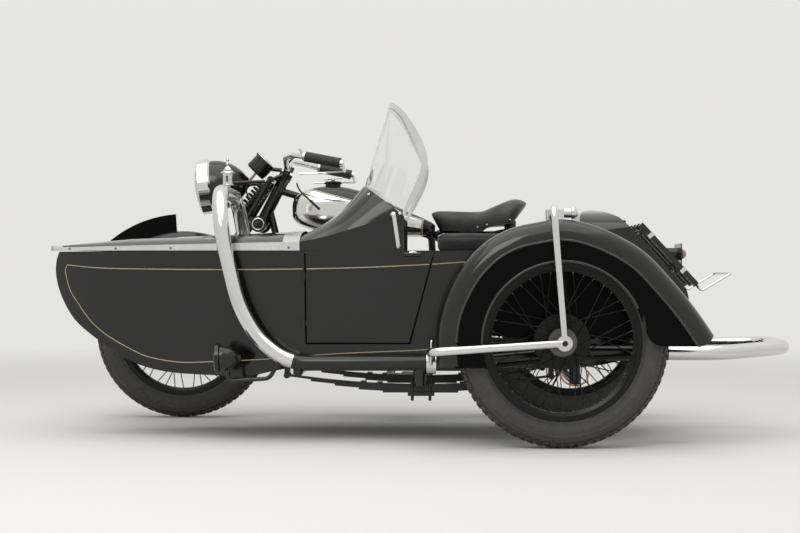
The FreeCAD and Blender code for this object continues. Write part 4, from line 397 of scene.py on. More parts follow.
def dial_finish(name):
    """Dark instrument face, lighter towards its middle."""
    s = Surface(name)
    radius = s.vector("DISTANCE", s.place, at(*DIAL_CENTRE), "Value")
    speck = s.noise(400.0)
    inner = s.mixed(speck, (0.05, 0.05, 0.05), (0.07, 0.07, 0.068))
    outer = s.mixed(speck, (0.012, 0.012, 0.012), (0.02, 0.02, 0.02))
    return s.done(s.mixed(s.ratio(radius, 0.016, 0.018), inner, outer), s.ratio(speck, 0.3, 0.7, 0.3, 0.4))


# Finishes by name, each with its kind and values. A word among the values is one of the user's colours

LAMP_AXIS = Vector((math.cos(math.radians(6.3)), 0.0, -math.sin(math.radians(6.3))))
LAMP_SPLIT = LAMP_AXIS.dot(at(1450.0, 0.0, 903.0)) - 46.5 * MM
BRIGHT = (0.74, 0.74, 0.72)
SOOT = (0.012, 0.012, 0.012)
RECIPES = {
    "coach enamel": (enamel, "coach_enamel", 0.14),
    # Darker, duller copy of the coach enamel: painted shade on the mudguard's side panel and inner wall; the
    # front plate's faces are in it too.
    "panel enamel": (enamel, (0.003, 0.003, 0.003), 0.25, 0.05, 0.0),
    "frame enamel": (enamel, (0.006, 0.006, 0.006), 0.14, 0.5, 0.02),
    # Lighter black for the mudguard's beads and lip: painted highlight along them.
    "bead enamel": (enamel, (0.035, 0.035, 0.034), 0.3, 0.5, 0.0),
    "plate paint": (enamel, (0.007, 0.007, 0.007), 0.2, 0.5, 0.02),
    "plate border": (enamel, (0.30, 0.30, 0.28), 0.35, 0.4, 0.05),
    "lamp enamel": (two_part, LAMP_AXIS, LAMP_SPLIT, (BRIGHT, 1.0, 0.08), (SOOT, 0.0, 0.14)),
    "rack enamel": (two_part, Vector((-1.0, 0.0, 0.0)), -at(-376, 0, 0).x, (BRIGHT, 1.0, 0.12),
                    (SOOT, 0.0, 0.2)),
    "chrome": (bright_metal, (0.72, 0.72, 0.70), 0.12),
    "polished strip": (bright_metal, (0.74, 0.74, 0.71), 0.24, 0.05, (1.0, 30.0, 30.0)),
    "dark screw": (bright_metal, (0.20, 0.19, 0.18), 0.35, 0.1),
    "lamp shell": (bright_metal, (0.68, 0.68, 0.65), 0.22, 0.08),
    "dull screw": (bright_metal, (0.36, 0.35, 0.33), 0.35, 0.1),
    "light screw": (bright_metal, (0.70, 0.69, 0.66), 0.25, 0.08),
    "hinge metal": (bright_metal, (0.62, 0.60, 0.56), 0.3, 0.08),
    "copper pipe": (bright_metal, (0.66, 0.33, 0.16), 0.25, 0.1, None, 0.3),
    "cast alloy": (cast_metal, (0.50, 0.50, 0.48)),
    "barrel iron": (cast_metal, (0.045, 0.045, 0.045), 0.6, 0.4),
    "chain steel": (cast_metal, (0.22, 0.20, 0.17), 0.38, 0.9, 0.6),
    "spring steel": (cast_metal, (0.018, 0.018, 0.018), 0.38, 0.2, 0.3),
    "rubber": (rubber, "rubber"),
    "grip rubber": (rubber, (0.03, 0.03, 0.028), 0.5, 0.15),
    "tan sleeve": (rubber, (0.30, 0.17, 0.08), 0.5, 0.1),
    "black sleeve": (rubber, (0.012, 0.012, 0.012), 0.45, 0.1),
    "saddle leather": (hide, "leather"),
    "seat leather": (hide, "leather", 380.0, 0.38),
    "strap leather": (hide, (0.012, 0.011, 0.010), 600.0, 0.4),
    "hood cloth": (woven, "hood_cloth"),
    "screen glass": (clear_glass, (0.975, 0.98, 0.975)),
    "lamp glass": (fluted_glass,),
    "red glass": (coloured_glass, (0.50, 0.27, 0.24)),
    "stripe gold": (gold_line, "stripe_gold"),
    "tank plate": (tank_finish,),
    "dial": (dial_finish,),
}
FINISHES = {}


def finish(name):
    """Finish of a name, made when it is first asked for."""
    if name not in FINISHES:
        make, *values = RECIPES[name]
        values = [getattr(colours(), value) if isinstance(value, str) else value for value in values]
        FINISHES[name] = make(name.replace(" ", "_"), *values)
    return FINISHES[name]


# Mesh helpers

def lattice(rows, count, closed=True, start=0):
    """Faces between neighbouring rows of as many points each, all numbered in turn."""
    faces = []
    for row in range(rows - 1):
        here = start + row * count
        for step in range(count if closed else count - 1):
            after = (step + 1) % count
            faces.append((here + step, here + after, here + count + after, here + count + step))
    return faces


def stack(rows, sides, shift=0.0):
    """Points in metres and faces of a pile of rings about Z, each (radius, level) in mm."""
    points = []
    for radius, level in rows:
        for step in range(sides):
            angle = 2 * math.pi * (step + shift) / sides
            points.append(Vector((radius * math.cos(angle), radius * math.sin(angle), level)) * MM)
    return points, lattice(len(rows), sides)


def mesh_of(points, faces):
    mesh = bpy.data.meshes.new("part")
    mesh.from_pydata([tuple(point) for point in points], [], faces)
    mesh.update()
    return mesh


def tidy_mesh(mesh, smooth=True, merge=0.00001):
    """Doubles merged, faces outward, shading set."""
    work = bmesh.new()
    work.from_mesh(mesh)
    bmesh.ops.remove_doubles(work, verts=work.verts, dist=merge)
    bmesh.ops.recalc_face_normals(work, faces=work.faces)
    for face in work.faces:
        face.smooth = smooth
    work.to_mesh(mesh)
    work.free()
    return mesh


def joined(meshes):
    """One mesh from several."""
    work = bmesh.new()
    for mesh in meshes:
        work.from_mesh(mesh)
    result = bpy.data.meshes.new("part")
    work.to_mesh(result)
    work.free()
    for mesh in meshes:
        bpy.data.meshes.remove(mesh)
    return result


def in_scene(name, data):
    thing = bpy.data.objects.new(name, data)
    bpy.context.scene.collection.objects.link(thing)
    return thing


def piece(name, mesh, look, body="outfit", slot="chrome_plate"):
    """A piece in a finish that rides on a body."""
    mesh.materials.clear()
    mesh.materials.append(finish(look))
    mesh.name = name
    thing = in_scene(name, mesh)
    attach(thing, body)
    return thing


def lathe(profile, centre, axis, segments=48):
    """Profile of radius and height in mm, turned about an axis through a point in mm."""
    turn = Vector((0, 0, 1)).rotation_difference(Vector(axis).normalized()).to_matrix()
    points, faces = stack(profile, segments)
    return tidy_mesh(mesh_of([at(*centre) + turn @ point for point in points], faces))


def evaluated(thing):
    """Plain mesh of a temporary object as its modifiers leave it, and the object removed."""
    graph = bpy.context.evaluated_depsgraph_get()
    mesh = bpy.data.meshes.new_from_object(thing.evaluated_get(graph))
    data = thing.data
    bpy.data.objects.remove(thing)
    if isinstance(data, bpy.types.Mesh):
        bpy.data.meshes.remove(data)
    else:
        bpy.data.curves.remove(data)
    return mesh


def temporary(data):
    return in_scene("work", data)


def modified(mesh, kind, **settings):
    """Mesh that one modifier makes of a mesh."""
    thing = temporary(mesh)
    modifier = thing.modifiers.new(kind.lower(), kind)
    for key, value in settings.items():
        setattr(modifier, key, value)
    return evaluated(thing)


def tube(points, radius):
    """Round tube along a smooth line near points in mm."""
    curve = bpy.data.curves.new("line", "CURVE")
    curve.dimensions = "3D"
    curve.bevel_depth = radius * MM
    curve.bevel_resolution = 3
    curve.use_fill_caps = True
    curve.resolution_u = 6
    line = curve.splines.new("NURBS")
    line.points.add(len(points) - 1)
    for spot, point in zip(line.points, points):
        spot.co = (*at(*point), 1.0)
    line.order_u = 3
    line.use_endpoint_u = True
    return tidy_mesh(evaluated(temporary(curve)))


def smooth_path(points, gap):
    """Points along a smooth curve through the given points, about so far apart."""
    ends = [points[0]] + list(points) + [points[-1]]
    result = []
    for before, here, after, beyond in zip(ends, ends[1:], ends[2:], ends[3:]):
        count = max(1, round(math.dist(here, after) / gap))
        for step in range(count):
            t = step / count
            spot = []
            for a, b, c, d in zip(before, here, after, beyond):
                spot.append(0.5 * (2 * b + (c - a) * t + (2 * a - 5 * b + 4 * c - d) * t * t
                                   + (3 * b - a - 3 * c + d) * t ** 3))
            result.append(tuple(spot))
    result.append(tuple(points[-1]))
    return result


def side_path(points, gap):
    """Smooth path of X and Z through the given ones."""
    return [(x, z) for x, _, z in smooth_path([(x, 0, z) for x, z in points], gap)]


def offset_path(points, distance):
    """Points of X and Z moved to the left of their line's run."""
    result = []
    last = len(points) - 1
    for index, (x, z) in enumerate(points):
        ahead = points[min(index + 1, last)]
        behind = points[max(index - 1, 0)]
        run = Vector((ahead[0] - behind[0], ahead[1] - behind[1])).normalized()
        result.append((x - run.y * distance, z + run.x * distance))
    return result


TREES = {}


def surface_tree(nodes):
    """One ray tree over several nodes, with the node that each face belongs to."""
    key = tuple(nodes)
    if key not in TREES:
        points = []
        faces = []
        owners = []
        for node in nodes:
            mesh = NODES[node].data
            start = len(points)
            points += [vertex.co.copy() for vertex in mesh.vertices]
            for polygon in mesh.polygons:
                faces.append(tuple(start + index for index in polygon.vertices))
                owners.append(node)
        TREES[key] = (BVHTree.FromPolygons(points, faces), owners)
    return TREES[key]


def touch(nodes, x, z, side=1):
    """First point in mm that a ray along Y meets on the nodes from one side, its normal and the node."""
    tree, owners = surface_tree(nodes)
    toward = Vector((0, -side, 0))
    spot, normal, index, _ = tree.ray_cast(at(x, 3000.0 * side, z), toward)
    if spot is None:
        return None
    return from_origin(spot), -normal if normal.dot(toward) > 0 else normal, owners[index]


def ribbon_on(nodes, path, width, side):
    """Flat ribbon laid on the nodes along a path of X and Z, seen from one side. One mesh for each node."""
    lift = 0.35
    longest = 40.0
    sides = [offset_path(path, offset) for offset in (-width / 2, width / 2)]
    rows = []
    for places in zip(*sides):
        hits = [hit for hit in (touch(nodes, x, z, side) for x, z in places) if hit]
        rows.append(([hit[0] + hit[1] * lift for hit in hits], hits[-1][2] if hits else None))
    meshes = {}
    for node in nodes:
        points = []
        faces = []
        for (first, owner), (second, next_owner) in zip(rows, rows[1:]):
            if owner != node or next_owner != node or len(first) < 2 or len(second) < 2:
                continue
            if (first[0] - second[0]).length > longest:
                continue
            start = len(points)
            points += [at(*spot) for spot in (*first, *reversed(second))]
            faces.append((start, start + 1, start + 2, start + 3))
        if faces:
            mesh = tidy_mesh(mesh_of(points, faces), False, 0.0001)
            if sum(polygon.normal.y * polygon.area for polygon in mesh.polygons) * side < 0:
                mesh.flip_normals()
            meshes[node] = mesh
    return meshes


# Geometry Nodes trees for what repeats

def copies_group(name, extra, build):
    """Tree that ends in real copies, with the object to copy and extra values among its inputs."""
    group = bpy.data.node_groups.get(name)
    if group:
        return group
    group = bpy.data.node_groups.new(name, "GeometryNodeTree")
    tree = Tree(group)
    for title, kind in {"Geometry": "Geometry", "Copy": "Object", **extra, "Finish": "Material"}.items():
        group.interface.new_socket(title, in_out="INPUT", socket_type="NodeSocket" + kind)
    group.interface.new_socket("Geometry", in_out="OUTPUT", socket_type="NodeSocketGeometry")
    source = group.nodes.new("NodeGroupInput").outputs
    shape = tree.add("GeometryNodeObjectInfo", {"Object": source["Copy"]}, "Geometry")
    real = tree.add("GeometryNodeRealizeInstances", {"Geometry": build(tree, source, shape)})
    coated = tree.add("GeometryNodeSetMaterial", {"Geometry": real, "Material": source["Finish"]})
    tree.add("NodeGroupOutput", {"Geometry": coated})
    return group


def round_axle(tree, source, shape):
    """Copies of a shape turned round a wheel's axle."""
    points = tree.add("GeometryNodePoints", {"Count": source["Count"]})
    step = tree.maths("DIVIDE", 2 * math.pi, source["Count"])
    angle = tree.plus(tree.times(tree.add("GeometryNodeInputIndex"), step), source["First angle"])
    spin = tree.add("ShaderNodeCombineXYZ", {"Y": angle})
    copies = tree.add("GeometryNodeInstanceOnPoints", {"Points": points, "Instance": shape, "Rotation": spin})
    return tree.add("GeometryNodeTransform", {"Geometry": copies, "Translation": source["Axle"]})


def on_points(tree, source, shape):
    """Copies of a shape on points, its Z along each point's facing and its X along the point's run."""
    facing, run = [tree.add("GeometryNodeInputNamedAttribute", {"Name": name}, data_type="FLOAT_VECTOR")
                   for name in ("facing", "run")]
    upright = tree.add("FunctionNodeAlignRotationToVector", {"Vector": facing}, axis="Z")
    turned = tree.add("FunctionNodeAlignRotationToVector", {"Rotation": upright, "Vector": run}, axis="X",
                      pivot_axis="Z")
    return tree.add("GeometryNodeInstanceOnPoints", {"Points": source["Geometry"], "Instance": shape,
                                                     "Rotation": turned})


def run_group(mesh, group, shape, look, values):
    """Mesh that a tree makes from a mesh, a shape to copy, a finish and named values."""
    model = temporary(shape)
    thing = temporary(mesh)
    modifier = thing.modifiers.new("copies", "NODES")
    modifier.node_group = group
    values = {"Copy": model, "Finish": finish(look), **values}
    for item in group.interface.items_tree:
        if item.in_out == "INPUT" and item.name in values:
            modifier[item.identifier] = values[item.name]
    result = evaluated(thing)
    bpy.data.objects.remove(model)
    return result


def ring(shape, centre, count, first, look):
    """Copies of a shape, drawn in metres about the origin, round an axle that lies along Y."""
    extra = {"Count": "Int", "First angle": "Float", "Axle": "Vector"}
    group = copies_group("Ring of copies", extra, round_axle)
    return run_group(bpy.data.meshes.new("seed"), group, shape, look,
                     {"Count": count, "First angle": first, "Axle": at(*centre)})


def scatter(shape, spots, look):
    """Copies of a shape at spots, each (point in mm, facing, run)."""
    mesh = mesh_of([at(*point) for point, _, _ in spots], [])
    for name, place in (("facing", 1), ("run", 2)):
        layer = mesh.attributes.new(name, "FLOAT_VECTOR", "POINT")
        for index, spot in enumerate(spots):
            layer.data[index].vector = Vector(spot[place])
    return run_group(mesh, copies_group("Copies on points", {}, on_points), shape, look, {})


def copies(name, shape, spots, look, *place):
    """Piece of copies of a shape at spots, with its body and slot if they aren't the usual ones; the slot is
    not used.
    """
    return piece(name, scatter(shape, spots, look), look, *place)


# Small shapes that are repeated

def capped(rows, count, start=0):
    """Faces of a closed skin over rows of as many points each."""
    last = start + (rows - 1) * count
    ends = [tuple(range(start, start + count)), tuple(range(last, last + count))]
    return lattice(rows, count, True, start) + ends


BLOCK_FACES = ((0, 3, 2, 1), (4, 5, 6, 7), (0, 1, 5, 4), (1, 2, 6, 5), (2, 3, 7, 6), (3, 0, 4, 7))


def corners(low, high):
    """Eight corners of a block between two points."""
    (x0, y0, z0), (x1, y1, z1) = low, high
    return [(x, y, z) for z in (z0, z1) for x, y in ((x0, y0), (x1, y0), (x1, y1), (x0, y1))]


def block(low, high):
    """Closed block between two corners in mm."""
    return mesh_of([Vector(point) * MM for point in corners(low, high)], BLOCK_FACES)


def screw_head(radius, height, slot=True):
    """Domed head with a slot, its top along Z."""
    sides = 12
    points, faces = stack(((radius, 0.0), (radius, height * 0.45), (radius * 0.72, height * 0.85)), sides, 0.5)
    start = len(points)
    top = tuple(range(start - sides, start))
    if not slot:
        return tidy_mesh(mesh_of(points, [*faces, top]))
    long = radius * 0.66
    wide = radius * 0.14
    for level in (height, height * 0.55):
        for x, y in ((-long, -wide), (long, -wide), (long, wide), (-long, wide)):
            points.append(Vector((x, y, level)) * MM)
    half = sides // 2
    faces += [(*top[:half], start + 3, start + 2), (*top[half:], start + 1, start),
              (top[half - 1], top[half], start, start + 3), (top[-1], top[0], start + 2, start + 1),
              (start + 4, start + 5, start + 6, start + 7)]
    return tidy_mesh(mesh_of(points, faces + lattice(2, 4, True, start)), False)


# Sheets, skins and pads

def shelled(mesh, thickness, outward=1.0):
    """Closed sheet of a thickness in mm on the outer side of a mesh."""
    return modified(mesh, "SOLIDIFY", thickness=thickness * MM, offset=outward, use_even_offset=True)


def skin(node, keep, cuts=(), thickness=0.6):
    """Thin sheet on the faces of a node that keep(place, normal) chooses, after cuts along planes in mm."""
    work = bmesh.new()
    work.from_mesh(NODES[node].data)
    bmesh.ops.remove_doubles(work, verts=work.verts, dist=0.00002)
    for point, normal in cuts:
        bmesh.ops.bisect_plane(work, geom=work.verts[:] + work.edges[:] + work.faces[:], plane_co=at(*point),
                               plane_no=Vector(normal), dist=0.0000001)
    work.normal_update()
    unwanted = [face for face in work.faces if not keep(from_origin(face.calc_center_median()), face.normal)]
    bmesh.ops.delete(work, geom=unwanted, context="FACES")
    for face in work.faces:
        face.smooth = True
    mesh = bpy.data.meshes.new("skin")
    work.to_mesh(mesh)
    work.free()
    mesh = shelled(mesh, thickness)
    mesh.set_sharp_from_angle(angle=math.radians(35))
    return mesh


def loft(rings):
    """Closed skin over rings of as many points each, in mm."""
    points = [at(*point) for row in rings for point in row]
    return tidy_mesh(mesh_of(points, capped(len(rings), len(rings[0]))))


def subdivided(mesh, levels):
    return modified(mesh, "SUBSURF", levels=levels, render_levels=levels)


def puffed(mesh, cap):
    """Padded form blown up from a closed mesh by a cloth simulation, no point moved further than cap in mm."""
    mesh = modified(mesh, "REMESH", mode="VOXEL", voxel_size=9.0 * MM, use_smooth_shade=True)
    thing = temporary(mesh.copy())
    cloth = thing.modifiers.new("stuffing", "CLOTH").settings
    cloth.use_pressure = True
    cloth.uniform_pressure_force = 4.0
    cloth.quality = 5
    cloth.effector_weights.gravity = 0.0
    for step in range(1, 21):
        bpy.context.scene.frame_set(step)
    blown = evaluated(thing)
    for vertex, target in zip(mesh.vertices, blown.vertices):
        move = target.co - vertex.co
        if move.length > cap * MM:
            move = move.normalized() * cap * MM
        vertex.co = vertex.co + move
    bpy.data.meshes.remove(blown)
    bpy.context.scene.frame_set(1)
    return subdivided(mesh, 1)


def bent(mesh, change):
    """Every point of a mesh moved by change(place in mm), which gives mm."""
    for vertex in mesh.vertices:
        vertex.co = vertex.co + Vector(change(from_origin(vertex.co))) * MM
    mesh.update()
    return mesh


def unit(value):
    """A value kept between nought and one."""
    return min(1.0, max(0.0, value))


NODE_FINISHES = {
    "coach enamel": "boot_lid door nose_deck scuttle sidecar_hull tail sidecar_mudguard",
    "frame enamel": "motorcycle_frame fork_girders oil_tank primary_case front_mudguard rear_mudguard fog_lamp "
                    "sidecar_chassis speedometer",
    "chrome": "exhaust_system hoop rear_bumper wheel_outrigger screen_frame handlebar",
    "lamp shell": "marker_lamps",
    "cast alloy": "carburettor crankcase gearbox footrests",
    "barrel iron": "cylinders",
    "spring steel": "leaf_springs",
    "rack enamel": "luggage_rack",
    "plate paint": "rear_plate_and_lamp",
    "lamp enamel": "headlamp",
    "lamp glass": "headlamp_lens",
    "tank plate": "fuel_tank",
    "screen glass": "screen_glass",
    "rubber": "front_tyre rear_tyre sidecar_tyre",
    "chain steel": "drive_chain",
    "saddle leather": "saddle",
    "seat leather": "seat",
    "hood cloth": "hood_roll",
}


def dress(node, material):
    """Gives a node of the model its finish in every slot."""
    if not NODES[node].material_slots:
        NODES[node].data.materials.append(material)
    for place in NODES[node].material_slots:
        place.material = material


class OUTFIT_OT_finishes(bpy.types.Operator):
    """Give every part of the model its paint, metal, rubber or glass"""
    bl_idname = "outfit.finishes"
    bl_label = "Finishes of the parts"

    def execute(self, context):
        for name, nodes in NODE_FINISHES.items():
            for node in nodes.split():
                dress(node, finish(name))
        for which, (centre, _, _) in WHEELS.items():
            dress(which + "_wire_wheel", wheel_finish(which + "_wheel_enamel", centre))
        return {"FINISHED"}


# Wheels

CROWN_RADIUS = 58.0
SHOULDER = math.radians(43.5)
TYRE_WALL = ((321.5, 42.2), (317.5, 44.2), (316.5, 45.6), (313.5, 46.8), (312.0, 46.4), (309.0, 47.6),
             (308.0, 49.0), (305.0, 49.8), (303.5, 49.4), (295.0, 50.8), (285.0, 50.6), (276.0, 48.2),
             (270.0, 44.6), (268.5, 45.2), (265.5, 43.4), (264.5, 40.6), (259.5, 35.0), (256.2, 31.0),
             (254.0, 29.6), (243.0, 29.4))
TREAD_ROWS = ((0.50, 0.985, 0.0), (-0.985, -0.50, 0.0), (0.05, 0.44, 0.5), (-0.44, -0.05, 0.5))
SPOKES_A_SIDE = 20


def on_crown(angle, radius):
    """Distance from the axle and across, of a point at an angle over the tyre's crown."""
    return WHEEL_RADIUS - CROWN_RADIUS + radius * math.cos(angle), radius * math.sin(angle)


def tyre_section(depth):
    """Closed section from bead to bead, (radius, across)."""
    half = [on_crown(SHOULDER * step / 6, CROWN_RADIUS - depth) for step in range(7)] + list(TYRE_WALL)
    return [(radius, -across) for radius, across in reversed(half[1:])] + half + [(243.0, -29.4)]


def tread_lug(first, last, length, depth):
    """Block of tread between two angles across the crown, drawn on the line ahead of the axle."""
    foot = CROWN_RADIUS - depth - 1.5
    points = []
    for step in range(4):
        angle = first + (last - first) * step / 3
        for outer, spread in ((CROWN_RADIUS, -0.86), (CROWN_RADIUS, 0.86), (foot, 1.0), (foot, -1.0)):
            radius, across = on_crown(angle, outer)
            turn = spread * length / 2 / WHEEL_RADIUS
            points.append(Vector((radius * math.cos(turn), across, radius * math.sin(turn))) * MM)
    return tidy_mesh(mesh_of(points, capped(4, 4)), False)


def spoke_ends(side, index, drum_side):
    """Rim end and hub end of a spoke about the wheel's centre, in mm."""
    crossing = 1 if index % 2 else -1
    start, share, hub_radius, hub_y = (0.5, 0.55, 88.0, 17.0) if side == drum_side else (0.0, 1.0, 45.0, 29.0)
    ends = []
    for radius, y, spread, lean in ((230.25, 6.0, 1.2, 0.0), (hub_radius, hub_y, 2.6, 48.0)):
        angle = 2 * math.pi * (index + start) / SPOKES_A_SIDE + math.radians(lean) * share * crossing
        out = side * (y + spread * crossing)
        ends.append(Vector((radius * math.cos(angle), out, radius * math.sin(angle))))
    return ends


def nipple():
    """Six-sided spoke nipple with its collar at the rim, along Z."""
    points, _ = stack(((1.7, 11.0), (2.0, 10.0), (2.0, 2.6), (3.1, 2.2), (3.1, 0.0)), 6)
    return tidy_mesh(mesh_of(points, capped(5, 6)), False)


class OUTFIT_OT_tyres(bpy.types.Operator):
    """Build the three tyres with ribbed walls and blocks of tread"""
    bl_idname = "outfit.tyres"
    bl_label = "Tyres"

    def execute(self, context):
        size = sizes()
        for which, (centre, _, body) in WHEELS.items():
            parts = [lathe(tyre_section(size.tread_depth), centre, (0, 1, 0), 144)]
            for first, last, stagger in TREAD_ROWS:
                shape = tread_lug(first * SHOULDER, last * SHOULDER, size.lug_length, size.tread_depth)
                start = stagger * 2 * math.pi / size.tread_count
                parts.append(ring(shape, centre, size.tread_count, start, "rubber"))
            tyre = piece(which + "_tyre_tread", joined(parts), "rubber", body, "tyre_rubber")
            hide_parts(which + "_tyre")
        return {"FINISHED"}


class OUTFIT_OT_wheel_trim(bpy.types.Operator):
    """Add the spoke nipples and tyre valves"""
    bl_idname = "outfit.wheel_trim"
    bl_label = "Spoke nipples and valves"

    def execute(self, context):
        angle = 2 * math.pi * 0.25 / SPOKES_A_SIDE
        inward = Vector((-math.cos(angle), 0.0, -math.sin(angle)))
        stem = ((0.0, 0.0), (4.5, 0.0), (4.5, 3.0), (3.0, 3.5), (3.0, 26.0), (3.6, 26.5), (3.6, 35.0),
                (0.0, 36.0))
        for which, (centre, drum_side, body) in WHEELS.items():
            spots = []
            for side in (-1, 1):
                for index in range(SPOKES_A_SIDE):
                    rim, hub = spoke_ends(side, index, drum_side)
                    run = (hub - rim).normalized()
                    spots.append((centre + rim, run, run.cross(Vector((0, 1, 0)))))
            copies(which + "_nipples", nipple(), spots, "dull screw", body)
            piece(which + "_valve", lathe(stem, centre - inward * 229.0, inward, 12), "chrome", body)
        return {"FINISHED"}


# The sidecar's body

SIDES = ((1, "near"), (-1, "far"))
STRIPE_BODIES = {"sidecar_hull": "outfit", "door": "door", "tail": "outfit", "nose_deck": "outfit"}
STRIPE = ((1831, 595), (1700, 584), (1511, 580), (1259, 578), (983, 580), (747, 586), (521, 597), (437, 603),
          (300, 607), (150, 606), (20, 600), (-60, 588), (-116, 566), (-150, 536), (-166, 500), (-162, 462),
          (-140, 430), (-90, 398), (0, 368), (120, 345), (250, 330), (400, 317), (578, 307), (882, 293),
          (1069, 277), (1277, 265), (1402, 261), (1511, 276), (1567, 296), (1624, 323), (1685, 357),
          (1739, 401), (1779, 450), (1819, 506), (1836, 559), (1838, 580), (1831, 595))
BEHIND_WHEEL = 330.0


class OUTFIT_OT_gold_lines(bpy.types.Operator):
    """Draw the gold line round each side of the sidecar's body"""
    bl_idname = "outfit.gold_lines"
    bl_label = "Gold lines"

    def execute(self, context):
        path = side_path(STRIPE, 7.0)
        start = next(index for index, (x, _) in enumerate(path) if x < BEHIND_WHEEL)
        back = next(index for index, (x, _) in enumerate(path) if index > start and x > BEHIND_WHEEL)
        shown = {1: path[back:] + path[1:start], -1: path}
        for side, place in SIDES:
            meshes = ribbon_on(tuple(STRIPE_BODIES), shown[side], sizes().stripe_width, side)
            for node, mesh in meshes.items():
                piece(f"gold_line_{place}_{node}", mesh, "stripe gold", STRIPE_BODIES[node], "body_black")
        return {"FINISHED"}


def spots_on(nodes, places, lift, least=0.0):
    """Spots for screws at places of X and Z on both sides of the nodes, further out than least."""
    spots = []
    for x, z in places:
        for side, _ in SIDES:
            hit = touch(nodes, x, z, side)
            if hit and abs(hit[0].y - BODY_Y) > least:
                spots.append((hit[0] + hit[1] * lift, hit[1], (0.3, 0, 1)))
    return spots


DECK_EDGE = 652.0
DECK_START = 990
DECK_STEP = 30
DECK_CROWN = 12.0
DECK_TIP = 1819.0
CROSS_SHEET_END = 1042


class OUTFIT_OT_deck_trim(bpy.types.Operator):
    """Bind the nose deck's edge and tip with a polished strip held by screws"""
    bl_idname = "outfit.deck_trim"
    bl_label = "Deck edge strip"

    def execute(self, context):
        def on_edge(place, normal):
            return place.z > 641.5 and (abs(normal.z) < 0.6 and place.x > 985.5
                                        or place.x > DECK_TIP and normal.z > -0.4)
        strip = skin("nose_deck", on_edge, (((DECK_TIP, 0, 0), (1, 0, 0)),), 0.8)
        piece("deck_edge_strip", strip, "polished strip")

        halves = []
        for step in range(28):
            hit = touch(("nose_deck",), DECK_START + DECK_STEP * step, DECK_EDGE)
            halves.append(hit[0].y - BODY_Y if hit else 12.0)

        def raised(place):
            """Lift of the deck's crown: full along its ridge, none at its edges and tip."""
            run = (min(max(place.x, 990.0), 1799.0) - DECK_START) / DECK_STEP
            index = int(run)
            half = halves[index] + (halves[index + 1] - halves[index]) * (run - index)
            share = max(0.0, 1 - (abs(place.y - BODY_Y) / max(half - 4.0, 10.0)) ** 2)
            return 0, 0, DECK_CROWN * share * unit((1860 - place.x) / 260)
        cuts = [((x, 0, 0), (1, 0, 0)) for x in range(CROSS_SHEET_END, 1880, 56)]
        cuts += [((0, BODY_Y + y, 0), (0, 1, 0)) for y in range(-180, 181, 24)]
        for name, end, thickness, look, slot in (
                ("deck_crown", 1860, 0.5, "coach enamel", "body_black"),
                ("deck_cross_sheet", CROSS_SHEET_END, 1.3, "polished strip", "chrome_plate")):
            sheet = skin("nose_deck", lambda place, normal: normal.z > 0.6 and place.x < end, cuts, thickness)
            piece(name, bent(sheet, raised), look, "outfit", slot)
        spots = spots_on(("nose_deck",), [(x, DECK_EDGE) for x in (1819, 1638, 1434, 1021)], 0.7)
        copies("deck_edge_screws", screw_head(sizes().screw_radius, 2.4), spots, "dark screw")
        return {"FINISHED"}


class OUTFIT_OT_scuttle_trim(bpy.types.Operator):
    """Add the collar's screws and the screen's foot straps"""
    bl_idname = "outfit.scuttle_trim"
    bl_label = "Scuttle and screen trim"

    def execute(self, context):
        spots = spots_on(("scuttle", "screen_frame"), ((754, 834), (672.5, 764), (646, 767)), 0.1, 60)
        copies("collar_screws", screw_head(5.5, 3.0), spots, "light screw")
        for side, place in SIDES:
            rows = []
            for step in range(12):
                x, _, z = Vector((668, 0, 772)).lerp(Vector((650, 0, 648)), step / 11)
                hit = touch(("scuttle", "screen_frame", "sidecar_hull"), x, z, side)
                if hit and abs(hit[0].y - BODY_Y) > 150:
                    y = hit[0].y + side * 0.4
                    out = y + side * 2.6
                    rows.append([(x - 6.5, y, z), (x + 6.5, y, z), (x + 6.5, out, z), (x - 6.5, out, z)])
            piece("screen_foot_" + place, loft(rows), "chrome")
        return {"FINISHED"}


class OUTFIT_OT_door_trim(bpy.types.Operator):
    """Add the door's oval handle plate and the two hinge barrels' covers"""
    bl_idname = "outfit.door_trim"
    bl_label = "Door handle and hinges"

    def execute(self, context):
        y = touch(("door",), 602, 620)[0].y
        disc = ((0.0, 0.0), (17.0, 0.0), (17.0, 1.6), (14.5, 2.8), (0.0, 3.0))
        plate = lathe(disc, (602, y, 632), (0, 1, 0), 40)
        oval = bent(plate, lambda place: (0, 0, -0.54 * (place.z - 632)))
        bar = tube([(594, y + 3, 632), (594, y + 11, 632), (600, y + 14, 632), (622, y + 13, 631)], 3.2)
        piece("door_handle_plate", joined([oval, bar]), "chrome", "door")
        covers = []
        for low, high in ((540, 572), (382, 414)):
            y = touch(("sidecar_hull", "door"), 976, (low + high) / 2)[0].y + 0.6
            covers.append(tube([(973, y, low), (973, y, high)], 2.6))
        piece("door_hinge_covers", joined(covers), "hinge metal")
        return {"FINISHED"}


WING_EDGE = ((520, 262), (524, 345), (514, 430), (480, 520), (430, 600), (360, 668), (280, 710), (200, 729),
             (125, 739), (40, 727), (-56, 690), (-150, 632), (-240, 538), (-310, 452), (-369, 366))
CROWN = 62.0
LIP_RADIUS = 261.0


def round_wheel(radius, degrees, y):
    """Point at an angle round the sidecar's axle, in mm."""
    angle = math.radians(degrees)
    return SIDECAR_WHEEL.x + radius * math.cos(angle), y, SIDECAR_WHEEL.z + radius * math.sin(angle)


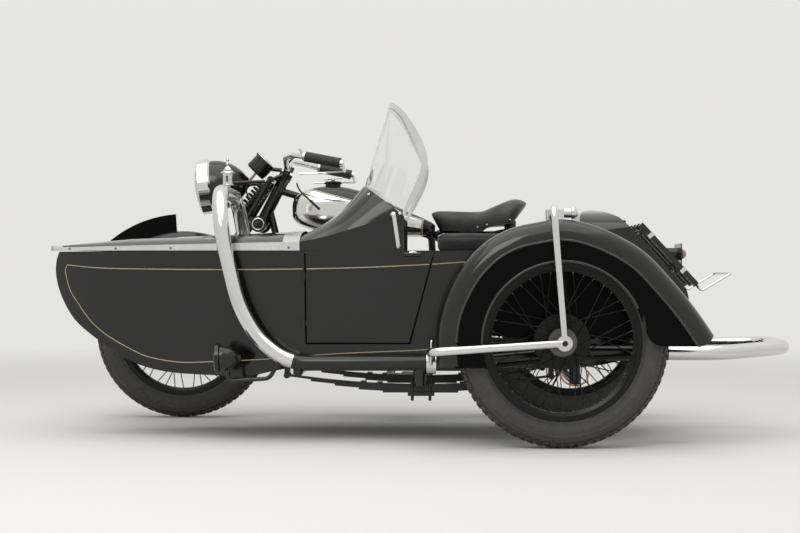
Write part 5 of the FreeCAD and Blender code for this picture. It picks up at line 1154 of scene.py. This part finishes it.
class OUTFIT_OT_wing_trim(bpy.types.Operator):
    """Side panel of the sidecar's mudguard, darkened as painted shade, with its crown, beads lightened as
    painted highlight, and inner wall
    """
    bl_idname = "outfit.wing_trim"
    bl_label = "Mudguard panel and beads"

    def execute(self, context):
        low, high = reach("sidecar_mudguard")
        face = high.y

        # A thin sheet of darker, duller enamel on the mudguard's flat outer face: painted shade.
        def on_side(place, normal):
            return normal.y > 0.999 and place.y > face - 0.4
        panel = skin("sidecar_mudguard", on_side, (), 0.4)
        piece("mudguard_panel", panel, "panel enamel", "outfit", "body_black")

        line = side_path(WING_EDGE, 14.0)
        section = [(CROWN + 4.0, -1.0)]
        for step in range(9):
            angle = math.pi / 2 * step / 8
            section.append((CROWN * (1 - math.sin(angle)) - 1.0, CROWN * (1 - math.cos(angle)) - 1.0))
        columns = [(offset_path(line, inside), face - depth) for inside, depth in section]
        columns += [(offset_path(line, inside), low.y + depth) for inside, depth in reversed(section)]
        points = [at(path[row][0], y, path[row][1]) for row in range(len(line)) for path, y in columns]
        crown = mesh_of(points, lattice(len(line), len(columns), False))
        if crown.polygons[len(crown.polygons) // 2].normal.z < 0:
            crown.flip_normals()
        for polygon in crown.polygons:
            polygon.use_smooth = True
        crown = shelled(crown, 0.8, -1.0)
        crown.set_sharp_from_angle(angle=math.radians(35))
        piece("mudguard_crown", crown, "coach enamel", "outfit", "body_black")

        # The bead and the lip are in a lighter black: painted highlight along them.
        bead = []
        for x, z in offset_path(line, CROWN + 4.0):
            if math.hypot(x - SIDECAR_WHEEL.x, z - SIDECAR_WHEEL.z) > LIP_RADIUS + 3.0 and z > 334:
                bead.append((x, face + 1.0, z))
        lip = [round_wheel(LIP_RADIUS, -8 + 163 * step / 59, face - 1.0) for step in range(60)]
        beads = joined([tube(path, 4.2) for path in (bead, lip)])
        piece("mudguard_beads", beads, "bead enamel", "outfit", "body_black")

        # The mudguard's inner wall, in the darker, duller enamel: painted shade seen between the spokes.
        inner = []
        for step in range(49):
            for radius in (72.0, 200.0, 331.0):
                inner.append(at(*round_wheel(radius, 4 + 172 * step / 48, low.y + 2.6)))
        wall = shelled(mesh_of(inner, lattice(49, 3, False)), 1.6, 0.0)
        piece("mudguard_inner_wall", wall, "panel enamel", "outfit", "body_black")
        return {"FINISHED"}


# Seats and hood

def saddle_section(top_x, low_x, half, low, high):
    """Ring of the saddle: crowned top, rounded shoulder, skirt that leans along, hollow below."""
    points = []
    for step in range(15):
        angle = math.pi * step / 14
        across = math.copysign(abs(math.cos(angle)) ** 0.72, math.cos(angle))
        points.append((half * across, low + 6 + (high - low - 6) * math.sin(angle) ** 0.62))
    for across, rise in ((-0.97, 0), (-0.9, 6), (-0.5, 26), (0, 30), (0.5, 26), (0.9, 6), (0.97, 0)):
        points.append((half * across, low + rise))
    lean = (top_x - low_x) / (high - low)
    return [(low_x + lean * (z - low), y, z) for y, z in points]


SADDLE_STATIONS = ((547, 515, 26, 740, 796), (541, 511, 40, 731, 804), (514, 494, 58, 728, 811),
                   (455, 453, 74, 727, 808), (400, 398, 92, 727, 806), (352, 348, 118, 728, 806),
                   (336, 337, 126, 730, 811), (318, 328, 134, 744, 819), (278, 297, 150, 749, 836),
                   (243, 270, 158, 750, 851), (216, 250, 158, 750, 857), (190, 237, 146, 753, 852),
                   (175, 229, 118, 758, 842), (169, 224, 78, 766, 835))


class OUTFIT_OT_saddle(bpy.types.Operator):
    """Build the sprung leather saddle with its rivets and edge seam"""
    bl_idname = "outfit.saddle"
    bl_label = "Saddle"

    def execute(self, context):
        leather = subdivided(loft([saddle_section(*station) for station in SADDLE_STATIONS]), 2)
        saddle = piece("saddle_leather_top", leather, "saddle leather", "outfit", "saddle_leather")
        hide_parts("saddle")
        edge = [(x, half * 0.985, low + 5) for _, x, half, low, _ in SADDLE_STATIONS[1:]]
        back = [(x, -y, z) for x, y, z in reversed(edge)]
        welt = tube(smooth_path(edge, 25) + [(222, 0, 770)] + smooth_path(back, 25), 2.0)
        piece("saddle_welt", welt, "strap leather", "outfit", "saddle_leather")
        tree = BVHTree.FromObject(saddle, bpy.context.evaluated_depsgraph_get())
        spots = []
        for x, z in ((366, 742), (330, 752), (243, 770)):
            for side, _ in SIDES:
                spot, normal, _, _ = tree.ray_cast(at(x, side * 400, z), Vector((0, -side, 0)))
                if spot:
                    spots.append((from_origin(spot), normal, (1, 0, 0.1)))
        copies("saddle_rivets", screw_head(3.6, 2.0, False), spots, "light screw")
        return {"FINISHED"}


def pad_block(low, high, round_off, lean=0.0):
    """Rounded closed block in mm whose top leans back by lean."""
    points = []
    for x, y, z in corners(low, high):
        points.append(at(x - (lean if z == high[2] and x == high[0] else 0.0), y, z))
    return tidy_mesh(modified(mesh_of(points, BLOCK_FACES), "BEVEL", width=round_off * MM, segments=4))


PLEAT_PITCH = 52.0
PLEAT_WIDTH = 3.2


def pleat(across, depth):
    """Depth of the nearest of evenly spaced seams at a distance across them."""
    off = (across / PLEAT_PITCH - round(across / PLEAT_PITCH)) * PLEAT_PITCH
    return -depth * math.exp(-(off / PLEAT_WIDTH) ** 2)


class OUTFIT_OT_seat(bpy.types.Operator):
    """Build the sidecar's pleated seat cushion and back"""
    bl_idname = "outfit.seat"
    bl_label = "Seat"

    def execute(self, context):
        low, high = reach("seat")
        half = (high.y - low.y) / 2
        back_foot = 424
        pad = puffed(pad_block((low.x + 18, low.y + 9, low.z + 1), (high.x - 8, high.y - 9, 384.0), 22.0), 12.0)

        def crowned(place):
            across = place.y - BODY_Y
            ends = unit((min(place.x - low.x, high.x - place.x) - 12) / 50)
            share = max(0.0, (place.z - 330) / 76) * unit((half - abs(across)) / 60) * ends
            return 0, 0, share * (12 + pleat(across, 7.0))
        bent(pad, crowned)
        back = pad_block((low.x + 3, low.y + 30, back_foot), (low.x + 84, high.y - 30, high.z - 8), 20.0, 58.0)
        back = puffed(back, 8.0)

        def channels(place):
            across = place.y - BODY_Y
            front = unit((place.x - low.x - 22) / 12)
            ends = unit((min(place.z - back_foot, high.z - place.z) - 20) / 30)
            groove = front * unit((half - 30 - abs(across)) / 40) * ends * pleat(across, 6.0)
            return groove * 0.97, 0, groove * 0.25
        bent(back, channels)
        seat = piece("seat_cushions", joined([pad, back]), "seat leather", "outfit", "seat_leather")
        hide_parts("seat")
        return {"FINISHED"}


HOOD_HALF_ROUTE = ((519, 0), (430, 1), (300, 3), (180, 8), (118, 26), (88, 66), (78, 120))
HOOD_FOLDS = ((3.4, 148, 9), (2.6, 32, 8))


class OUTFIT_OT_hood(bpy.types.Operator):
    """Lay the folded hood round the cockpit's back, tied with straps"""
    bl_idname = "outfit.hood"
    bl_label = "Folded hood"

    def execute(self, context):
        low, high = reach("hood_roll")
        z = (low.z + high.z) / 2
        route = [(x, high.y - 30 - inside, z) for x, inside in HOOD_HALF_ROUTE]
        route += [(76, BODY_Y + 60, z), (76, BODY_Y - 60, z)]
        route += [(x, low.y + 30 + inside, z) for x, inside in reversed(HOOD_HALF_ROUTE)]
        path = [Vector(point) for point in smooth_path(route, 7.0)]
        ends = len(path) - 1
        rings = []
        length = 0.0
        for index, point in enumerate(path):
            before = path[max(index - 1, 0)]
            after = path[min(index + 1, ends)]
            length += (point - before).length
            side = (after - before).normalized().cross(Vector((0, 0, 1))).normalized()
            shrink = 0.42 + 0.58 * math.sqrt(min(index, ends - index, 4) / 4)
            row = []
            for step in range(36):
                angle = 2 * math.pi * step / 36
                lap = sum(depth * math.exp(-((10 * step - middle_angle) / width) ** 2)
                          for depth, middle_angle, width in HOOD_FOLDS)
                ripple = 1.3 * math.sin(length / 31.0 + 3.0 * angle)
                ripple += 0.8 * math.sin(length / 13.0 - 5.0 * angle)
                radius = (27.6 - lap + 0.55 * ripple) * shrink
                flat = radius * (0.97 if math.sin(angle) < 0 else 1.0)
                row.append(point + side * flat * math.cos(angle) + Vector((0, 0, radius * math.sin(angle))))
            rings.append(row)
        hood = piece("folded_hood", loft(rings), "hood cloth", "outfit", "hood_cloth")
        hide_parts("hood_roll")
        band = ((29.6, -8.0), (30.6, -8.0), (30.6, 8.0), (29.6, 8.0), (29.6, -8.0))
        straps = []
        for share in (0.4, 0.6, 0.76, 0.91):
            index = round(share * ends)
            straps.append(lathe(band, path[index], path[index + 1] - path[index - 1], 40))
        piece("hood_straps", joined(straps), "strap leather", "outfit", "hood_cloth")
        return {"FINISHED"}


# Motorcycle details

CHAIN_Y = 64.0
FRONT_SPROCKET = Vector((640.0, CHAIN_Y, 330.0))
REAR_SPROCKET_RADIUS = 87.0
FRONT_SPROCKET_RADIUS = 37.0


def chain_link(pitch, offset):
    """Pair of waisted plates and one roller, the plates' flat side along Z."""
    half = pitch / 2

    def arc(centre, radius, start, step, count):
        angles = [math.radians(start + step * index) for index in range(count)]
        return [(centre + radius * math.cos(angle), radius * math.sin(angle)) for angle in angles]
    plate = arc(half, 4.2, -110, 44, 6) + arc(-half, 4.2, 70, 44, 6)
    roller = arc(half, 4.0, 0, 45, 8)
    points = []
    faces = []
    for outline, level, thickness in ((plate, -offset, 1.0), (plate, offset, 1.0), (roller, 0.0, 6.4)):
        faces += capped(2, len(outline), len(points))
        for side in (-0.5, 0.5):
            points += [Vector((x, y, level + side * thickness)) * MM for x, y in outline]
    return tidy_mesh(mesh_of(points, faces), False, 0.0000001)


def chain_joints(pitch):
    """Evenly spaced joints of a chain round both sprockets, and the exact distance between two."""
    rear = Vector((REAR_WHEEL.x, CHAIN_Y, REAR_WHEEL.z))
    apart = FRONT_SPROCKET - rear
    tilt = math.atan2(apart.z, apart.x)
    wrap = math.acos((REAR_SPROCKET_RADIUS - FRONT_SPROCKET_RADIUS) / apart.length)
    steps = []
    for centre, radius, start, end in ((rear, REAR_SPROCKET_RADIUS, tilt + wrap, tilt + 2 * math.pi - wrap),
                                       (FRONT_SPROCKET, FRONT_SPROCKET_RADIUS, tilt - wrap, tilt + wrap)):
        for index in range(41):
            angle = start + (end - start) * index / 40
            steps.append(centre + Vector((math.cos(angle), 0, math.sin(angle))) * radius)
    steps.append(steps[0])
    lengths = [0.0]
    for first, second in zip(steps, steps[1:]):
        lengths.append(lengths[-1] + (second - first).length)
    links = round(lengths[-1] / pitch / 2) * 2
    joints = []
    place = 0
    for index in range(links):
        run = lengths[-1] * index / links
        while lengths[place + 1] < run:
            place += 1
        share = (run - lengths[place]) / (lengths[place + 1] - lengths[place])
        joints.append(steps[place].lerp(steps[place + 1], share))
    return joints, lengths[-1] / links


class OUTFIT_OT_chain(bpy.types.Operator):
    """Run the roller chain round its two sprockets"""
    bl_idname = "outfit.chain"
    bl_label = "Drive chain"

    def execute(self, context):
        joints, pitch = chain_joints(sizes().chain_pitch)
        pairs = list(zip(joints, joints[1:] + joints[:1]))
        meshes = []
        for kind, offset in enumerate((5.4, 3.9)):
            spots = [((first + second) / 2, (0, 1, 0), (second - first).normalized())
                     for first, second in pairs[kind::2]]
            meshes.append(scatter(chain_link(pitch, offset), spots, "chain steel"))
        chain = piece("roller_chain", joined(meshes), "chain steel", "outfit", "chain_steel")
        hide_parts("drive_chain")
        return {"FINISHED"}


class OUTFIT_OT_controls(bpy.types.Operator):
    """Ribbed grips with their rings, and the instrument's bezel, face, marks and needle"""
    bl_idname = "outfit.controls"
    bl_label = "Grips and dial"

    def execute(self, context):
        ring_shape = ((17.0, -3.4), (20.4, -3.4), (20.4, -0.6), (17.0, -0.6), (17.0, -3.4))
        grips = []
        rings = []
        for side, _ in SIDES:
            front = Vector((1010, 345 * side, 1000))
            run = Vector((882, 372 * side, 974)) - front
            length = run.length
            width = (length - 12) / 22
            profile = [(0.0, -1.0), (18.2, -1.0)]
            for step in range(22):
                for radius, share in ((18.3, 0.0), (19.4, 0.25), (19.4, 0.6), (18.3, 0.85)):
                    profile.append((radius, 4 + (step + share) * width))
            profile += [(19.8, length - 6), (19.4, length + 0.8), (0.0, length + 1.2)]
            grips.append(lathe(profile, front, run, 28))
            rings.append(lathe(ring_shape, front, run, 28))
        piece("grips", joined(grips), "grip rubber", "steering", "tyre_rubber")
        piece("grip_rings", joined(rings), "chrome", "steering")
        bezel = ((41.5, 0.2), (47.4, 0.2), (47.4, 2.2), (45.0, 4.4), (42.0, 3.2), (41.5, 0.2))
        face = ((0.0, 1.0), (42.0, 1.0), (42.0, 0.1), (0.0, 0.1))
        piece("dial_bezel", lathe(bezel, DIAL_CENTRE, DIAL_AXIS), "chrome", "steering")
        piece("dial_face", lathe(face, DIAL_CENTRE, DIAL_AXIS), "dial", "steering")
        turn = Vector((0, 0, 1)).rotation_difference(DIAL_AXIS).to_matrix()

        def on_dial(degrees, lift, radius):
            """Spot at an angle round the dial, above its face and out from its centre."""
            angle = math.radians(degrees)
            out = turn @ Vector((math.cos(angle), math.sin(angle), 0))
            return DIAL_CENTRE + DIAL_AXIS * lift + out * radius, DIAL_AXIS, out
        spots = [on_dial(10 * step - 120, 1.0, 34) for step in range(25)]
        marks = scatter(block((-2.6, -0.5, 0), (2.6, 0.5, 0.4)), spots, "plate border")
        needle = scatter(block((-6, -1.0, 0), (28, 1.0, 0.8)), [on_dial(-118, 1.4, 0)], "plate border")
        piece("dial_marks", joined([marks, needle]), "plate border", "steering")
        return {"FINISHED"}


# Cables and pipes: name, look, body, radius and points

LINES = (
    ("meter_drive_sleeve", "tan sleeve", "steering", 5.0,
     ((1206, 30, 984), (1214, 30, 976), (1236, 31, 954), (1264, 33, 919))),
    ("meter_drive", "black sleeve", "steering", 3.6,
     ((1262, 33, 922), (1272, 34, 899), (1268, 34, 876), (1252, 30, 845), (1236, 26, 822))),
    ("brake_cable", "black sleeve", "steering", 3.6,
     ((1040, 66, 1024), (1056, 64, 1030), (1076, 60, 1022), (1104, 56, 995), (1124, 50, 958), (1128, 44, 925))),
    ("control_hose", "black sleeve", "outfit", 3.4,
     ((1068, 70, 915), (1063, 92, 900), (1047, 118, 876), (1008, 136, 843))),
    ("control_lever", "black sleeve", "outfit", 5.2, ((1012, 135, 846), (992, 140, 828), (974, 143, 811))),
    ("brake_pipe", "copper pipe", "outfit", 3.0,
     ((124, 1015, 262), (122, 1015, 247), (102, 1018, 204), (66, 1020, 191), (32, 1018, 200), (19, 1015, 224),
      (18, 1012, 240))),
    ("arm_bolt", "chrome", "outfit", 5.0, ((540, 1096, 262), (540, 1096, 300), (538, 1096, 346))),
)
UP = (0, 0, 1)
TAIL_LAMP = (-423.0, 0, 640)
LANTERN = Vector((1266.0, BODY_Y, 872.0))
FILLER = (928.0, 52.0, 880.0)
DAMPER = (1217.6, 92.0, 756.4)
RACK_SLOPE = Vector((-225.0, 0.0, -244.0)).normalized()


def turned(shapes, centre, axis):
    """One mesh of shapes turned about an axis, each (segments, profile)."""
    return joined([lathe(profile, centre, axis, segments) for segments, profile in shapes])


class OUTFIT_OT_pipes(bpy.types.Operator):
    """Cables, pipes, bolts and lamp trim about the outfit"""
    bl_idname = "outfit.pipes"
    bl_label = "Cables, pipes and lamp trim"

    def execute(self, context):
        for name, look, body, radius, points in LINES:
            piece(name, tube(points, radius), look, body)

        def on_blade(place, normal):
            ahead = math.hypot(place.x - FRONT_WHEEL.x, place.z - FRONT_WHEEL.z)
            return abs(normal.y) > 0.95 and abs(place.y) < 8 and ahead > 366
        face = skin("front_mudguard", on_blade, (), 0.5)
        piece("front_plate_faces", face, "panel enamel", "steering", "plate_black")

        rim = ((21.0, -0.5), (24.2, -0.5), (24.2, 6.0), (22.8, 7.6), (21.0, 6.4), (21.0, -0.5))
        lens = ((0.0, 12.0), (20.9, 12.6), (20.6, 14.4), (12.6, 25.8), (6.0, 28.4), (0.0, 29.0))
        piece("tail_lamp_ring", lathe(rim, TAIL_LAMP, (-1, 0, 0), 40), "chrome")
        piece("tail_lamp_lens", lathe(lens, TAIL_LAMP, (-1, 0, 0), 32), "red glass", "outfit", "lamp_glass")

        roof = ((17.0, 49.0), (24.5, 48.5), (25.0, 50.0), (22.0, 53.0), (15.0, 61.0), (15.0, 50.0),
                (17.0, 49.0))
        ball = ((0.0, 76.0), (5.0, 77.0), (7.4, 81.0), (7.4, 84.0), (5.0, 88.0), (0.0, 89.0))
        foot = ((16.0, 5.0), (20.5, 5.5), (20.5, 9.0), (16.0, 11.0), (16.0, 5.0))
        lantern = turned(((32, roof), (24, ball), (32, foot)), LANTERN, UP)
        piece("lantern_roof", lantern, "lamp shell", "outfit", "lamp_brass")
        # Thin black blocks round the lantern for its slits: painted shade of the openings.
        spots = []
        for out in (Vector((1, 0, 0)), Vector((0, 1, 0)), Vector((-1, 0, 0)), Vector((0, -1, 0))):
            spots.append((LANTERN + out * 16.6 + Vector((0, 0, 29)), out, UP))
        slit = block((-11.0, -3.2, 0), (11.0, 3.2, 1.2))
        copies("lantern_slits", slit, spots, "black sleeve", "outfit", "lamp_brass")

        ring_shape = ((19.0, -0.5), (24.5, -0.5), (24.5, 1.6), (22.0, 3.0), (19.0, 1.6), (19.0, -0.5))
        knob = ((0.0, -0.5), (10.0, -0.5), (10.0, 4.0), (7.0, 6.0), (0.0, 6.4))
        dampers = []
        for side, _ in SIDES:
            centre = (DAMPER[0], DAMPER[1] * side, DAMPER[2])
            dampers.append(turned(((40, ring_shape), (24, knob)), centre, (0, side, 0)))
        piece("damper_rings", joined(dampers), "chrome", "steering")

        drum = ((0.0, 0.0), (29.0, 0.0), (31.0, 2.0), (31.0, 8.0), (29.6, 9.0), (29.6, 36.0), (31.0, 37.0),
                (31.0, 41.0), (28.0, 43.0), (0.0, 43.5))
        boss = ((0.0, 42.0), (9.0, 42.0), (7.0, 50.0), (8.0, 55.0), (6.0, 60.0), (0.0, 61.0))
        piece("filler_cap", lathe(drum, FILLER, UP, 40), "black sleeve", "outfit", "tank_enamel")
        bar = tube([(892, 46, 938), (910, 49, 935), (928, 52, 934), (946, 55, 933), (964, 58, 930)], 3.4)
        piece("filler_lever", joined([lathe(boss, FILLER, UP, 24), bar]), "chrome")

        up = Vector((RACK_SLOPE.z, 0.0, -RACK_SLOPE.x))
        up *= math.copysign(1.0, up.z)
        spots = []
        for x, z in ((-212.2, 695.9), (-322.7, 576.0)):
            for side, _ in SIDES:
                place, normal, _ = touch(("luggage_rack",), x, z, side)
                spots.append((place - normal * 0.3, normal, RACK_SLOPE))
                spots.append((place - normal * 11 + up * 8.8, up, RACK_SLOPE))
        copies("rack_bands", block((-7.0, -10.6, 0), (7.0, 10.6, 1.4)), spots, "chrome", "boot_lid")
        return {"FINISHED"}


# The studio

FLOOR_RINGS = (8.0, 5.0, 2.5, 1.0)
LAMPS = (("overhead", (0.2, 0.9, 4.2), 5.0, 92.0), ("side", (1.4, 4.3, 3.7), 2.2, 56.0))
LAMP_AIM = Vector((0, 0, 0.3))


class OUTFIT_OT_stage(bpy.types.Operator):
    """Camera, soft studio light and a pale floor that runs into the backdrop"""
    bl_idname = "outfit.stage"
    bl_label = "Studio"

    def execute(self, context):
        scene = context.scene
        camera = bpy.data.cameras.new("camera")
        camera.lens = 75.375
        camera.sensor_width = 36.0
        camera.shift_y = 0.0079
        scene.camera = in_scene("camera", camera)
        scene.camera.location = (-0.0865, 6.1315, 0.5669)
        scene.camera.rotation_euler = (math.radians(90), 0.0, math.radians(181.368))
        scene.view_settings.view_transform = "Standard"

        steps = 96
        radii = (sizes().floor_radius, *FLOOR_RINGS)
        points, faces = stack([(radius / MM, 0.0) for radius in radii], steps)
        middle_disc = tuple(range(len(points) - steps, len(points)))
        floor = in_scene("floor", mesh_of(points, [*faces, middle_disc]))
        floor.data.materials.append(floor_finish("studio_floor"))

        world = bpy.data.worlds.new("studio")
        scene.world = world
        world.use_nodes = True
        world_light(world.node_tree)
        for name, place, size, power in LAMPS:
            lamp = bpy.data.lights.new(name, "AREA")
            lamp.shape = "SQUARE"
            lamp.size = size
            lamp.energy = power
            lamp.color = (1.0, 0.99, 0.97)
            thing = in_scene(name, lamp)
            thing.location = place
            thing.rotation_euler = (LAMP_AIM - Vector(place)).to_track_quat("-Z", "Y").to_euler()
        return {"FINISHED"}


def seen_directly(tree):
    """One for a ray from the camera, by a mirror or through glass, and nought for light that scatters."""
    camera, glossy, through = [tree.add("ShaderNodeLightPath", None, f"Is {kind} Ray")
                               for kind in ("Camera", "Glossy", "Transmission")]
    return tree.maths("MAXIMUM", tree.maths("MAXIMUM", camera, glossy), through)


def world_light(node_tree):
    """Even pale surround, a little brighter overhead."""
    node_tree.nodes.clear()
    tree = Tree(node_tree)
    direction = tree.add("ShaderNodeTexCoord", None, "Generated")
    up = tree.add("ShaderNodeSeparateXYZ", {0: direction}, "Z")
    backdrop = colours().backdrop
    seen = tree.mixed(tree.ratio(up, -0.05, 0.35), tinted(backdrop, 0.97), tinted(backdrop, 1.03))
    shown = tree.add("ShaderNodeBackground", {"Color": seen, "Strength": tree.ratio(up, 0.4, 0.9, 1.0, 1.25)})
    lit = tree.add("ShaderNodeBackground", {"Color": (*backdrop, 1.0), "Strength": 0.76})
    mix = tree.add("ShaderNodeMixShader", {0: seen_directly(tree), 1: lit, 2: shown})
    tree.add("ShaderNodeOutputWorld", {"Surface": mix})


def floor_finish(name):
    """Painted floor near the outfit, running into the backdrop's tone further out."""
    s = Surface(name)
    s.done(s.span(colours().floor, 0.985, 1.01, s.noise(0.9, 3.0)), 0.7, level=0.15)
    glow = s.add("ShaderNodeEmission", {"Color": (*tinted(colours().backdrop, 0.97), 1.0), "Strength": 1.0})
    away = s.add("ShaderNodeVectorMath", {0: s.place}, "Value", operation="LENGTH")
    share = s.times(s.ratio(away, 2.2, 7.5), seen_directly(s))
    mix = s.add("ShaderNodeMixShader", {0: share, 1: s.shader.outputs[0], 2: glow})
    s.tree.links.new(mix, s.tree.nodes["Material Output"].inputs["Surface"])
    return s.material


class OUTFIT_PT_pieces(bpy.types.Panel):
    bl_idname = "OUTFIT_PT_pieces"
    bl_label = "Sidecar outfit"
    bl_space_type = "VIEW_3D"
    bl_region_type = "UI"
    bl_category = "Outfit"

    def draw(self, context):
        for operator in OPERATORS:
            self.layout.operator(operator.bl_idname)
        for group in (context.scene.outfit_sizes, context.scene.outfit_colours):
            for name in group.__annotations__:
                self.layout.prop(group, name)


OPERATORS = (OUTFIT_OT_stage, OUTFIT_OT_finishes, OUTFIT_OT_tyres, OUTFIT_OT_wheel_trim, OUTFIT_OT_gold_lines,
             OUTFIT_OT_deck_trim, OUTFIT_OT_scuttle_trim, OUTFIT_OT_door_trim, OUTFIT_OT_wing_trim,
             OUTFIT_OT_saddle, OUTFIT_OT_seat, OUTFIT_OT_hood, OUTFIT_OT_chain, OUTFIT_OT_controls,
             OUTFIT_OT_pipes)
CLASSES = (OutfitSizes, OutfitColours, *OPERATORS, OUTFIT_PT_pieces)


def register():
    for kind in CLASSES:
        bpy.utils.register_class(kind)
    bpy.types.Scene.outfit_sizes = bpy.props.PointerProperty(type=OutfitSizes)
    bpy.types.Scene.outfit_colours = bpy.props.PointerProperty(type=OutfitColours)


def unregister():
    del bpy.types.Scene.outfit_sizes
    del bpy.types.Scene.outfit_colours
    for kind in reversed(CLASSES):
        bpy.utils.unregister_class(kind)


def main():
    register()
    for operator in OPERATORS:
        group, name = operator.bl_idname.split(".")
        getattr(getattr(bpy.ops, group), name)()


if __name__ == "__main__":
    main()
